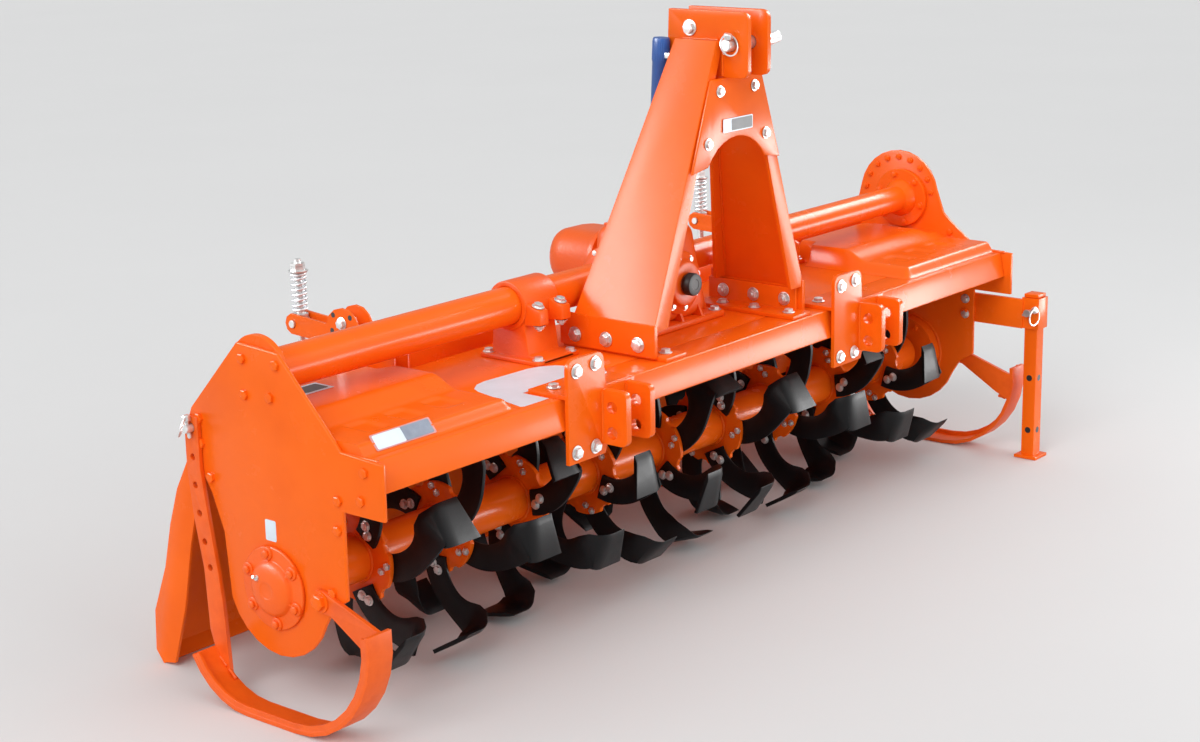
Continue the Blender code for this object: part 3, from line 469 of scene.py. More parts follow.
def studio():
    world = bpy.data.worlds.new("studio")
    world.use_nodes = True
    world.node_tree.nodes["Background"].inputs["Color"].default_value = (0.98, 0.99, 1.0, 1)
    world.node_tree.nodes["Background"].inputs["Strength"].default_value = 0.44
    bpy.context.scene.world = world
    sun("key", (-0.85, -0.22, 0.62), 1.45, 38)
    sun("front", (0.3, -0.9, 0.42), 1.05, 60)
    sun("overhead", (-0.15, 0.1, 1.0), 0.6, 80)
    shine("streak", (3.4, -0.95, 2.75), (0, 0, 0.55), 2.4, 200, 1.2)
    shine("card", (1.75, -1.75, 0.3), (0, -0.25, 0.45), 2.2, 60, 0.5)
    shine("sheen", (-3.7, 2.95, 2.85), (-0.15, -0.13, 0.7), 3.0, 560, 1.8)
    bm = bmesh.new()
    bmesh.ops.create_grid(bm, x_segments=2, y_segments=2, size=40)
    mesh = bpy.data.meshes.new("floor")
    bm.to_mesh(mesh)
    bm.free()
    floor = placed("floor", mesh)
    floor.location.z = -0.0005
    floor.data.materials.append(finish("floor_grey", [(0.7, 0.7, 0.7), (0.71, 0.71, 0.71)],
                                       (0.75, 0.85), scale=1.0, strength=0.0))
    bpy.context.scene.view_settings.view_transform = "Standard"


def eased(value, low, high):
    """0 below low, 1 above high, and a smooth step between."""
    t = min(1.0, max(0.0, (value - low) / (high - low)))
    return t * t * (3 - 2 * t)


# ---- Rotor ----
FLANGES = 9
FLANGE_PITCH = 0.2083
ROTOR_START = radians(8)
HELIX_STEP = radians(24)
FLANGE_HALF = 0.005
TUBE_RADIUS = 0.042
BLADES = 6


def blade_frames(angle, side):
    """The middle line of a blade: out along the flange, round a bend, and away to the side."""
    bend, top, sweep, root = 0.034, 0.205, radians(33), 0.054
    start = FLANGE_HALF + 0.0045
    straight = top - bend - root
    turn = bend * pi / 2
    run = 0.0895 - start - bend
    total = straight + turn + run
    steps = 30
    places = []
    for i in range(steps + 1):
        s = total * i / steps
        if s < straight:
            radius, x = root + s, start
        elif s < straight + turn:
            a = (s - straight) / bend
            radius, x = top - bend + bend * sin(a), start + bend * (1 - cos(a))
        else:
            radius, x = top, start + bend + s - straight - turn
        share = min(1.0, s / (straight + turn * 0.35))
        theta = angle - sweep * share ** 1.35
        wide = eased(s, straight * 0.72, straight + turn * 0.9)
        places.append((side * x, radius, theta, 0.05 + 0.03 * wide, s / total))
    return places


def add_blade(bm, angle, side):
    thick = 0.0078
    frames = blade_frames(angle, side)
    centres = [Vector((x, r * cos(t), r * sin(t))) for x, r, t, _, _ in frames]
    rings = []
    for i, (x, radius, theta, width, share) in enumerate(frames):
        ahead = centres[min(i + 1, len(centres) - 1)]
        behind = centres[max(i - 1, 0)]
        along = (ahead - behind).normalized()
        round_way = Vector((0, -sin(theta), cos(theta)))
        across = (round_way - along * round_way.dot(along)).normalized()
        normal = along.cross(across) * side
        lead, half = -width / 2, width / 2
        slant = 0.01 * max(0.0, share - 0.9) / 0.1
        edge = 0.16 + 0.84 * max(0.0, 1 - share / 0.35)
        section = [(lead, -thick / 2 * edge), (lead + 0.014, -thick / 2), (half, -thick / 2),
                   (half, thick / 2), (lead + 0.014, thick / 2), (lead, thick / 2 * edge * 0.6)]
        place = centres[i]
        rings.append([bm.verts.new(place + across * a + normal * b + along * slant *
                                   (1 if a > 0 else -1)) for a, b in section])
    bmesh.ops.recalc_face_normals(bm, faces=skin(bm, rings))


def rotor():
    bm = bmesh.new()
    end = HALF_WIDTH - PLATE - 0.03 - 0.006
    add_turned(bm, aimed((-end, 0, 0), (1, 0, 0)),
               [(0, 0), (0.026, 0), (0.026, 0.004), (TUBE_RADIUS - 0.002, 0.004),
                (TUBE_RADIUS, 0.006), (TUBE_RADIUS, 2 * end - 0.006),
                (TUBE_RADIUS - 0.002, 2 * end - 0.004), (0.026, 2 * end - 0.004),
                (0.026, 2 * end), (0, 2 * end)], 72)
    for side in (-1, 1):
        low, high = sorted((side * (end - 0.004), side * (HALF_WIDTH - 0.014)))
        add_rod(bm, (low, 0, 0), (1, 0, 0), 0.0256, high - low, 48)
    first = -FLANGE_PITCH * (FLANGES - 1) / 2
    for i in range(FLANGES):
        for side in (-1, 1):
            weld_ring(bm, (first + FLANGE_PITCH * i + side * (FLANGE_HALF + 0.0005), 0, 0),
                      (1, 0, 0), TUBE_RADIUS + 0.001, 0.0032)
    piece("rotor_tube_finish", bm, PAINT, "rotor", replaces=("rotor_tube",))
    for i in range(FLANGES):
        place = Matrix.Translation((first + FLANGE_PITCH * i, 0, 0)) @ Matrix.Rotation(
            ROTOR_START + HELIX_STEP * i, 4, "X")
        outline = []
        for k in range(BLADES):
            middle = 360 / BLADES * k
            outline += arc((0, 0), 0.086, middle - 21, middle + 21, 8)
            outline += arc((0, 0), 0.08, middle + 25, middle + 35, 2)
        disc = flat_mesh("X", outline, (-FLANGE_HALF, FLANGE_HALF), [circle((0, 0), 0.0425, 48)])
        disc.transform(place)
        piece(f"flange_plate_{i + 1}", disc, PAINT, "rotor", bevel=0.0012,
              replaces=(f"rotor_flange_{i + 1}",))
        bm = bmesh.new()
        zinc = bmesh.new()
        for k in range(BLADES):
            side = 1 if k % 2 else -1
            angle = pi * 2 * k / BLADES
            add_blade(bm, angle, side)
            for radius, swing in ((0.0665, 0.03), (0.079, -0.14)):
                y, z = around((0, 0), radius, angle + swing)
                bolt(zinc, (side * 0.0133, y, z), (side, 0, 0), 0.0066, turn=k)
                bolt(zinc, (-side * FLANGE_HALF, y, z), (-side, 0, 0), 0.0064, washer=False,
                     nut=True, turn=k * 0.7)
        bm.transform(place)
        zinc.transform(place)
        piece(f"blades_{i + 1}", bm, BLACK, "rotor", bevel=0.0011, segments=2, angle=40)
        piece(f"blade_bolts_{i + 1}", zinc, ZINC, "rotor", angle=25)


# ---- Side plates, gear case and end bearings ----


def side_plates():
    refined("left_side_plate", bevel=0.0022)
    refined("right_side_plate", bevel=0.0022)
    painted = bmesh.new()
    outer = -HALF_WIDTH
    for y, z in ((-0.226, 0.243), (-0.216, 0.193), (-0.163, 0.184), (-0.159, 0.132),
                 (-0.03, 0.392), (0.052, 0.392), (-0.012, 0.334), (0.05, 0.33),
                 (0.17, 0.27), (0.168, 0.226), (0.148, 0.168), (-0.14, 0.02)):
        bolt(painted, (outer, y, z), (-1, 0, 0), 0.0082, washer=False, turn=y * 9)
    studs("left_plate_studs", painted)

    bm = bmesh.new()
    face = outer - 0.0005
    turn = aimed((face, 0, 0), (-1, 0, 0))
    add_turned(bm, turn, [(0, 0), (0.072, 0), (0.0735, 0.0015), (0.0735, 0.005), (0.0715, 0.0065),
                          (0.05, 0.0072), (0.048, 0.0095), (0.0465, 0.013), (0.042, 0.0165),
                          (0.034, 0.0196), (0.022, 0.0216), (0.015, 0.0222), (0.014, 0.0212),
                          (0, 0.0212)], 64)
    for k in range(6):
        a = pi / 3 * k + 0.4
        place = around((0, 0), 0.062, a)
        bolt(bm, (face - 0.0105, *place), (-1, 0, 0), 0.0072, washer=False, turn=a)
        add_lathe(bm, (face - 0.004, *place), (-1, 0, 0),
                  [(0, 0), (12.8, 0), (11.8, 5.8), (10.5, 6.6), (0, 6.6)], 24)
        rib = bmesh.new()
        add_box(rib, (-0.0175, 0), (-0.0022, 0.0022), (0.03, 0.06))
        for vertex in rib.verts:
            if vertex.co.z > 0.05 and vertex.co.x < -0.01:
                vertex.co.x = -0.007
        rib.transform(Matrix.Translation((face, 0, 0)) @ Matrix.Rotation(a + pi / 6, 4, "X"))
        merge(bm, rib)
    piece("hub_cover", bm, CAST, bevel=0.0008, replaces=("left_bearing_cover",))
    bm = bmesh.new()
    add_lathe(bm, (face - 0.0205, 0.022, 0.018), (-1, 0.1, 0.5),
              [(0, -4), (5, -4), (5, 3), (3.6, 4.5), (2.8, 6.5), (3.6, 8.5), (2.8, 10.8),
               (0, 11.2)], 20)
    piece("grease_nipple", bm, ZINC)

    # The gear case: a casting with a bolted rim.
    top, top_radius, foot_radius = CASE_TOP, 0.088, 0.082
    back = HALF_WIDTH + 0.0004
    along = Vector(top)
    lean = degrees(atan2(along.y, along.x))
    open_angle = degrees(acos((foot_radius - top_radius) / along.length))

    def rim(grow):
        return (arc(top, top_radius + grow, lean - open_angle, lean + open_angle, 26)
                + arc((0, 0), foot_radius + grow, lean + open_angle, lean + 360 - open_angle, 26))
    flange = flat_mesh("X", rim(0.0), (back, back + 0.012))
    piece("gear_case_rim", flange, CAST, bevel=0.002, replaces=("gear_case",))
    bm = bmesh.new()
    layers = [(0.011, -0.015), (0.02, -0.0165), (0.04, -0.019), (0.0495, -0.0235), (0.054, -0.03),
              (0.0555, -0.04)]
    rings = []
    for out, grow in layers:
        rings.append([bm.verts.new((back + out, y, z)) for y, z in rim(grow)])
    bmesh.ops.recalc_face_normals(bm, faces=skin(bm, rings))
    for centre, radius in ((top, 0.03), ((0, 0), 0.034), ((0.018, 0.19), 0.02)):
        add_turned(bm, aimed((back + 0.052, *centre), (1, 0, 0)),
                   [(0, 0), (radius + 0.004, 0), (radius, 0.0045), (radius * 0.8, 0.0052),
                    (0, 0.0054)], 40)
    piece("gear_case_body", bm, CAST, bevel=0.0012, angle=40)
    bm = bmesh.new()
    outline = rim(-0.0075)
    lengths = [0.0]
    for a, b in zip(outline, outline[1:] + outline[:1]):
        lengths.append(lengths[-1] + dist(a, b))
    for k in range(18):
        goal = lengths[-1] * k / 18
        i = max(n for n in range(len(outline)) if lengths[n] <= goal)
        a, b = outline[i], outline[(i + 1) % len(outline)]
        t = (goal - lengths[i]) / max(1e-9, lengths[i + 1] - lengths[i])
        bolt(bm, (back + 0.012, a[0] + (b[0] - a[0]) * t, a[1] + (b[1] - a[1]) * t), (1, 0, 0),
             0.0062, turn=k)
    bolt(bm, (back + 0.0572, *top), (1, 0, 0), 0.01)
    bolt(bm, (back + 0.057, 0.018, 0.19), (1, 0, 0), 0.0085, washer=False)
    bolts("gear_case_bolts", bm)

    bm = bmesh.new()
    inner = HALF_WIDTH - PLATE
    for k in range(9):
        a = radians(8 + 164 * k / 8)
        bolt(bm, (inner, *around(CASE_TOP, 0.089, a)), (-1, 0, 0), 0.0066, washer=False,
             nut=True, turn=k)
    for y, z in ((-0.105, 0.296), (-0.118, 0.2), (0.14, 0.262), (-0.15, 0.112), (0.118, 0.11)):
        bolt(bm, (inner, y, z), (-1, 0, 0), 0.007, washer=False, turn=z * 8)
    studs("right_plate_studs", bm)
    for side, radius in ((-1, 0.06), (1, 0.085)):
        bm = bmesh.new()
        near = side * (HALF_WIDTH - PLATE - 0.03)
        for k in range(6):
            a = pi / 3 * k
            bolt(bm, (near, *around((0, 0), radius - 0.014, a)), (-side, 0, 0), 0.006,
                 washer=False, turn=a)
        weld_ring(bm, (near + side * 0.03, 0, 0), (1, 0, 0), radius + 0.001, 0.004)
        studs(f"rotor_hub_bolts_{'left' if side < 0 else 'right'}", bm)


# ---- Frame: beam, deck and shafts over it ----


PANEL_TOP = 0.295
PANEL_INNER = 0.676
PANEL_Y = (-0.222, 0.122)


def deck():
    bend = arc((0.128, DECK_Z - 0.04), 0.04, 90, 50, 6)
    line = [(-0.1655, DECK_Z)] + bend + [(0.1612, 0.2468)]
    half = DECK_HALF
    sheet = flat_mesh("X", line + [(y, z - 0.0045) for y, z in line[::-1]], (-half, half))
    piece("deck_sheet", sheet, PAINT, bevel=0.001, replaces=("deck",))
    upright = box_outline(0.1405, 0.1455, 0.256, 0.303)
    for name, low, high in (("left", -half, -0.12), ("right", 0.12, half)):
        lip = flat_mesh("X", upright, (low, high))
        piece("deck_rear_lip_" + name, lip, PAINT, bevel=0.0015)
    # The raised panel at each end: a low step at the front and a higher one under the tube.
    low_y, high_y = PANEL_Y
    for name, side in SIDES:
        bm = bmesh.new()
        rows = []
        for k in range(122):
            row = []
            for i in range(101):
                y = low_y + (high_y - low_y) * i / 100
                inner = PANEL_INNER - 0.036 * (1 - eased(y, 0.045, 0.062))
                across = inner + (half - inner) * min(k, 120) / 120
                lean = eased(across, inner, inner + 0.03)
                rise = 0.021 * eased(y, low_y, low_y + 0.02) + 0.022 * eased(y, -0.1, -0.04)
                rise *= lean * (1 - eased(y, high_y - 0.026, high_y))
                ceiling = PANEL_TOP - DECK_Z - 0.001 + 0.011 * (1 - eased(across, 0.96, 0.985))
                rise = min(rise, ceiling)
                for middle in (0.745, 0.835, 0.925):
                    side_rise = eased(across, middle - 0.03, middle - 0.014) * (
                        1 - eased(across, middle + 0.014, middle + 0.03))
                    rise -= 0.0042 * side_rise * eased(y, -0.17, -0.155) * (
                        1 - eased(y, -0.112, -0.098))
                height = DECK_Z + 0.0004 + (0 if k == 121 else rise)
                row.append(bm.verts.new((side * across, y, height)))
            rows.append(row)
        for before, after in zip(rows, rows[1:]):
            for i in range(100):
                bm.faces.new((before[i], after[i], after[i + 1], before[i + 1]))
        bmesh.ops.recalc_face_normals(bm, faces=bm.faces)
        if sum(face.normal.z for face in bm.faces) < 0:
            bmesh.ops.reverse_faces(bm, faces=bm.faces)
        item = piece(f"deck_panel_{name}", bm, PAINT)
        step = item.modifiers.new("sheet", "SOLIDIFY")
        step.thickness = 0.0035
        step.offset = -1
        applied(item)
        smoothed(item, 50)


def shafts():
    for name, low, high, radius, flange in (("main_tube", -DECK_HALF, -0.1175, 0.0365, -1),
                                            ("drive_tube", 0.1175, DECK_HALF, 0.03, 1)):
        bm = bmesh.new()
        add_rod(bm, (low, *SHAFT), (1, 0, 0), radius, high - low, 72)
        edge = low if flange < 0 else high - 0.012
        add_lathe(bm, (edge, *SHAFT), (1, 0, 0),
                  [(0, 0), (66.5, 0), (68, 1.5), (68, 10.5), (66.5, 12), (0, 12)], 64)
        near = edge + 0.012 if flange < 0 else edge
        turn = aimed((near, *SHAFT), (-flange, 0, 0))
        add_turned(bm, turn, [(0, -0.001), (radius + 0.014, -0.001), (radius + 0.011, 0.006),
                              (radius + 0.003, 0.017), (radius - 0.001, 0.022), (0, 0.022)], 56)
        if radius < 0.033:
            add_lathe(bm, (low, *SHAFT), (1, 0, 0),
                      [(0, 0), (40, 0), (40, 30), (34.5, 40), (0, 40)])
        piece(name + "_finish", bm, PAINT, replaces=(name,))
        bm = bmesh.new()
        for k in range(6):
            a = pi / 3 * k + 0.26
            bolt(bm, (near, *around(SHAFT, 0.057, a)), (-flange, 0, 0), 0.0062, turn=k)
        studs(name + "_bolts", bm)


def clamp():
    """The saddle over the left tube: a cast foot with webs and a bolted cap."""
    low, high = CLAMP_X
    radius = 0.0368
    y, z = SHAFT
    foot = flat_mesh("X", [(y - 0.085, DECK_Z + 0.0005), (y + 0.06, DECK_Z + 0.0005),
                           (y + 0.06, DECK_Z + 0.009), (y + 0.044, DECK_Z + 0.01),
                           (y + 0.038, z - 0.02)]
                     + arc((y, z), radius, -20, -160, 14)
                     + [(y - 0.038, z - 0.02), (y - 0.048, DECK_Z + 0.014),
                        (y - 0.085, DECK_Z + 0.01)], (low + 0.016, high - 0.016))
    piece("clamp_foot", foot, CAST, bevel=0.003, replaces=("tube_clamp",))
    base = flat_mesh("Z", box_outline(low, high, y - 0.085, y + 0.06),
                     (DECK_Z + 0.0004, DECK_Z + 0.0086))
    piece("clamp_base", base, CAST, bevel=0.002)
    ring = flat_mesh("X", arc((y, z), 0.047, 0, 352.5, 47), (low + 0.012, high - 0.012),
                     [circle((y, z), radius, 48)])
    piece("clamp_ring", ring, CAST, bevel=0.003, segments=3)
    for name, x in (("a", low + 0.028), ("b", high - 0.028)):
        ear = flat_mesh("X", [(y - 0.04, z + 0.01), (y - 0.078, z - 0.002),
                              (y - 0.08, z - 0.03), (y - 0.04, z - 0.034)],
                        (x - 0.013, x + 0.013))
        piece(f"clamp_ear_{name}", ear, CAST, bevel=0.003)
    bm = bmesh.new()
    for x in (low + 0.028, high - 0.028):
        bolt(bm, (x, y - 0.064, z + 0.0035), (0, -0.3, 0.95), 0.0082)
        bolt(bm, (x, y - 0.066, z - 0.032), (0, 0, -1), 0.008, nut=True)
    for x in (low + 0.014, high - 0.014):
        for side in (-0.074, 0.05):
            bolt(bm, (x, y + side, DECK_Z + 0.0086), (0, 0, 1), 0.008, turn=x * 7)
    bolts("clamp_bolts", bm)


def gearbox():
    half, front, rear, top = 0.105, -0.085, 0.075, 0.47
    y, z = SHAFT
    foot = flat_mesh("Z", box_outline(-half - 0.03, half + 0.03, front - 0.012, rear + 0.012),
                     (DECK_Z + 0.0005, DECK_Z + 0.014))
    piece("gearbox_foot", foot, CAST, bevel=0.004, segments=3, replaces=("gearbox",))
    bm = bmesh.new()
    for vertex in add_box(bm, (-1, 1), (-1, 1), (0, 1)):
        high = vertex.co.z > 0.5
        wide = half - (0.03 if high else 0.004)
        vertex.co.x *= wide
        vertex.co.y = (front + (0.016 if high else 0.0)) if vertex.co.y < 0 else rear - 0.001
        vertex.co.z = top - 0.004 if high else DECK_Z + 0.012
    piece("gearbox_body", bm, CAST, bevel=0.026, segments=6, angle=50)
    bm = bmesh.new()
    add_lathe(bm, (0, front + 0.012, PTO_Z), (0, -1, 0),
              [(0, 0), (62, 0), (64, 4), (64, 13), (61, 16), (50, 18), (46, 22), (44.5, 29),
               (40, 30), (18.5, 29.5), (18.5, 20), (0, 20)], 64)
    for side in (-1, 1):
        add_lathe(bm, (side * (half - 0.03), y, z), (side, 0, 0),
                  [(0, 0), (62, 0), (64, 6), (64, 18), (61, 21), (50, 23), (47.5, 30), (47, 41.5),
                   (0, 41.5)], 56)
    for x in (-0.064, 0, 0.064):
        for vertex in add_box(bm, (x - 0.004, x + 0.004), (front - 0.01, front + 0.024),
                              (DECK_Z + 0.012, DECK_Z + 0.055)):
            if vertex.co.z > DECK_Z + 0.03 and vertex.co.y < front:
                vertex.co.y = front + 0.01
    for side in (-1, 1):
        for rib_y in (-0.052, 0.052):
            for vertex in add_box(bm, (-0.02, 0.02), (rib_y - 0.004, rib_y + 0.004),
                                  (DECK_Z + 0.012, DECK_Z + 0.08)):
                far = vertex.co.z > DECK_Z + 0.05
                vertex.co.x = side * (half - 0.02 if vertex.co.x < 0
                                      else half + (0.0 if far else 0.024))
    cap = flat_mesh("Z", box_outline(-0.062, 0.062, front + 0.03, rear - 0.018),
                    (top - 0.006, top - 0.0005))
    merge(bm, cap)
    piece("gearbox_bosses", bm, CAST, bevel=0.0018, angle=40)
    # Rear cover: a round-topped housing that bulges to the rear.
    start, end = rear + 0.0005, 0.205
    low, high = 0.318, 0.448
    middle = (low + high) / 2
    outline = arc((0.04, middle), (high - low) / 2, -90, 90, 14) + arc(
        (-0.04, middle), (high - low) / 2, 90, 270, 14)
    scale = 0.085 / (0.04 + (high - low) / 2)
    bm = bmesh.new()
    rings = []
    for share, grow in ((0.0, 1.0), (0.1, 1.0), (0.11, 0.93), (0.7, 0.91), (0.86, 0.86),
                        (0.95, 0.76), (1.0, 0.62)):
        rings.append([bm.verts.new((a * scale * grow, start + (end - start) * share,
                                    middle + (b - middle) * grow)) for a, b in outline])
    bmesh.ops.recalc_face_normals(bm, faces=skin(bm, rings))
    piece("gearbox_cover", bm, CAST, bevel=0.0012, angle=40, replaces=("gearbox_rear_cover",))
    bm = bmesh.new()
    for k in range(8):
        a = 2 * pi * k / 8 + 0.2
        x, height = around((0, PTO_Z), 0.052, a)
        bolt(bm, (x, front - 0.0035, height), (0, -1, 0), 0.0052, turn=k)
    for side in (-1, 1):
        for k in range(6):
            a = pi / 3 * k
            bolt(bm, (side * (half - 0.0095), *around(SHAFT, 0.0555, a)), (side, 0, 0), 0.0052,
                 washer=False, turn=k)
    for x in (-0.05, 0.05):
        for side in (front + 0.04, rear - 0.028):
            bolt(bm, (x, side, top - 0.0007), (0, 0, 1), 0.0058, turn=x)
    for x in (-0.121, 0.121):
        for side in (front + 0.004, rear - 0.004):
            bolt(bm, (x, side, DECK_Z + 0.014), (0, 0, 1), 0.0088, turn=x)
    bolts("gearbox_bolts", bm)
    bm = bmesh.new()
    for a, b in ((0.068, 0.0), (-0.068, 0.0), (0.045, 0.052), (-0.045, 0.052), (0.045, -0.052),
                 (-0.045, -0.052), (0, 0.058)):
        bolt(bm, (a * 1.06, start + 0.0135, middle + b * 0.98), (0, 1, 0), 0.0052, washer=False)
    studs("cover_bolts", bm)
    bm = bmesh.new()
    add_lathe(bm, (0.02, 0.01, top - 0.001), (0, 0, 1),
              [(0, 0), (8.5, 0), (8.5, 6), (6, 7), (6, 12), (9.5, 13.5), (9.5, 21), (7, 24.5),
               (0, 25)], 24)
    piece("breather", bm, RUBBER_AND_HOLE_SHADE)
    bm = bmesh.new()
    cap_front = -0.124
    add_lathe(bm, (0, cap_front + 0.018, PTO_Z), (0, -1, 0),
              [(0, 0), (21.5, 0), (22.5, 1), (22.5, 14), (21.2, 17), (18, 18), (11, 18), (10, 17.2),
               (0, 17.2)])
    piece("pto_cap_finish", bm, RUBBER_AND_HOLE_SHADE, "pto", replaces=("pto_cap",))
    NODES["pto_shaft"].data.materials.clear()
    NODES["pto_shaft"].data.materials.append(ZINC)


# ---- Mast ----
LEG_FOOT, LEG_TOP = (0.249, 0.318), (0.06, 0.842)


def leg_x(z):
    share = (z - LEG_FOOT[1]) / (LEG_TOP[1] - LEG_FOOT[1])
    return -(LEG_FOOT[0] + (LEG_TOP[0] - LEG_FOOT[0]) * share)


def leg_y(z):
    share = (z - LEG_FOOT[1]) / (LEG_TOP[1] - LEG_FOOT[1])
    return (-0.21 - 0.009 * share, -0.014 - 0.11 * share)


def lynch_pin(bm, point, along, hang, ring=0.02):
    """A spring pin through a bar, with its ring fallen to one side."""
    along, hang = Vector(along).normalized(), Vector(hang).normalized()
    point = Vector(point)
    add_lathe(bm, point - along * 0.018, along,
              [(0, 0), (3, 1.5), (3.8, 5), (3.8, 30), (7.5, 31), (8.2, 33), (8.2, 39), (6.8, 41),
               (0, 41.2)], 20)
    head = point + along * 0.018
    across = along.cross(hang).normalized()
    loop = []
    for i in range(40):
        a = 2 * pi * i / 40
        loop.append(head + hang * ring * 0.95 * (1 - cos(a)) + across * ring * sin(a)
                    + along * 0.003 * cos(a))
    add_tube(bm, loop, 0.0017, 8, closed=True)


def mast():
    for name in ("mast_leg_left", "mast_leg_right"):
        refined(name, bevel=0.003, segments=3)
    for name in ("mast_foot_left", "mast_foot_right", "mast_arch_plate"):
        refined(name, bevel=0.0018)
    for name in ("clevis_plate_left", "clevis_plate_right"):
        refined(name, bevel=0.0025, segments=3)
    zinc = bmesh.new()
    for side in (-1, 1):
        x = side * 0.2505
        for y in (-0.175, -0.098, -0.022):
            bolt(zinc, (x, y, 0.29), (side, 0, 0), 0.01, turn=y * 20)
            bolt(zinc, (side * 0.233, y, 0.29), (-side, 0, 0), 0.0095, nut=True, turn=y * 11)
        for y in (-0.205, -0.12, -0.04):
            bolt(zinc, (side * 0.205, y, DECK_Z + 0.0082), (0, 0, 1), 0.0085, turn=y * 5)
    face = leg_y(0.77)[0] - 0.0078
    for x, z in ((-0.056, 0.748), (0.056, 0.748), (-0.094, 0.652), (0.094, 0.652)):
        bolt(zinc, (x, face, z), (0, -1, 0), 0.0078, turn=x * 30)
    plate = 0.0382
    bolt(zinc, (-plate, *CLEVIS_BOLT), (-1, 0, 0), 0.0105)
    bolt(zinc, (plate, *CLEVIS_BOLT), (1, 0, 0), 0.0105, nut=True)
    bolts("mast_bolts", zinc)
    bm = bmesh.new()
    add_rod(bm, (-0.0258, *CLEVIS_BOLT), (1, 0, 0), 0.0135, 0.0516, 40)
    piece("clevis_tube", bm, PAINT, replaces=("clevis_spacer",))
    bm = bmesh.new()
    y, z = TOP_PIN
    add_lathe(bm, (-0.058, y, z), (1, 0, 0),
              [(0, 0), (10, 0), (11.8, 1.5), (12.2, 4), (12.2, 8.5), (12.2, 10), (12.2, 150),
               (11, 157), (8, 175.5), (0, 176)], 40)
    add_tube(bm, [(0.092, y, z + 0.004), (0.1, y - 0.002, z + 0.01),
                  (0.112, y - 0.003, z + 0.011), (0.118, y - 0.003, z + 0.006)], 0.0035, 10)
    lynch_pin(bm, (-0.0535, y, z), (0, -0.25, 0.97), (-0.25, -0.35, -0.9), 0.0185)
    piece("hitch_pin", bm, ZINC, replaces=("top_link_pin",))
    welds = bmesh.new()
    for side in (-1, 1):
        for edge, inset in ((0, 0.008), (1, -0.008)):
            ends = [(side * -leg_x(z) - side * 0.0095, leg_y(z)[edge] + inset, z)
                    for z in (0.33, 0.836)]
            weld(welds, *ends, 0.0024)
        weld(welds, (side * 0.0392, -0.21, 0.842), (side * 0.0392, -0.13, 0.842), 0.003)
        weld(welds, (side * 0.0392, -0.22, 0.775), (side * 0.0392, -0.2195, 0.838), 0.0026)
    piece("mast_welds", welds, PAINT, angle=60)
    # Document holder: a moulded tube with a screwed cap.
    bm = bmesh.new()
    top, bottom = Vector((-0.0565, -0.0885, 0.842)), Vector((-0.0565, -0.0755, 0.625))
    length = (top - bottom).length
    add_turned(bm, aimed(bottom, top - bottom),
               [(0, 0), (0.014, 0), (0.0158, 0.002), (0.0158, length - 0.046),
                (0.0164, length - 0.045), (0.0164, length - 0.003), (0.015, length), (0, length)],
               48)
    for k in range(24):
        a = 2 * pi * k / 24
        offset = Vector((cos(a), sin(a), 0)) * 0.0161
        turn = aimed(bottom, top - bottom)
        add_tube(bm, [turn @ (offset + Vector((0, 0, length - 0.042))),
                      turn @ (offset + Vector((0, 0, length - 0.006)))], 0.0009, 6)
    piece("paper_case", bm, BLUE, replaces=("document_holder",))
    bm = bmesh.new()
    add_box(bm, (-0.0645, -0.0485), (-0.1145, -0.098), (0.804, 0.814))
    piece("paper_case_clip", bm, ZINC, bevel=0.001)


# ---- Lower hitch, beam and stand ----


def front():
    refined("front_beam", bevel=0.003, segments=3)
    refined("hinge_rod", bevel=0.001)
    zinc = bmesh.new()
    welds = bmesh.new()
    for side_name, side in SIDES:
        refined(f"hitch_bracket_{side_name}", bevel=0.0026, segments=3)
        middle = side * BRACKET_MIDDLE
        face = -0.2608
        for x, z in ((-0.112, 0.312), (-0.06, 0.316), (-0.114, 0.164), (-0.062, 0.164)):
            bolt(zinc, (middle + x, face, z), (0, -1, 0), 0.0092, turn=x * 40 + side)
        for x in (-0.1, 0.03):
            bolt(zinc, (middle + x, -0.198, DECK_Z + 0.0084), (0, 0, 1), 0.0088, turn=x)
        for way in (-1, 1):
            for edge in (0.0275, 0.0415):
                x = middle + way * edge
                weld(welds, (x, face - 0.0012, 0.168), (x, face - 0.0012, 0.262), 0.003)
    for x in (-DECK_HALF, DECK_HALF):
        weld(welds, (x, -0.25, 0.2635), (x, -0.17, 0.2635), 0.003)
    bolts("hitch_bolts", zinc)
    piece("front_welds", welds, PAINT, angle=60)


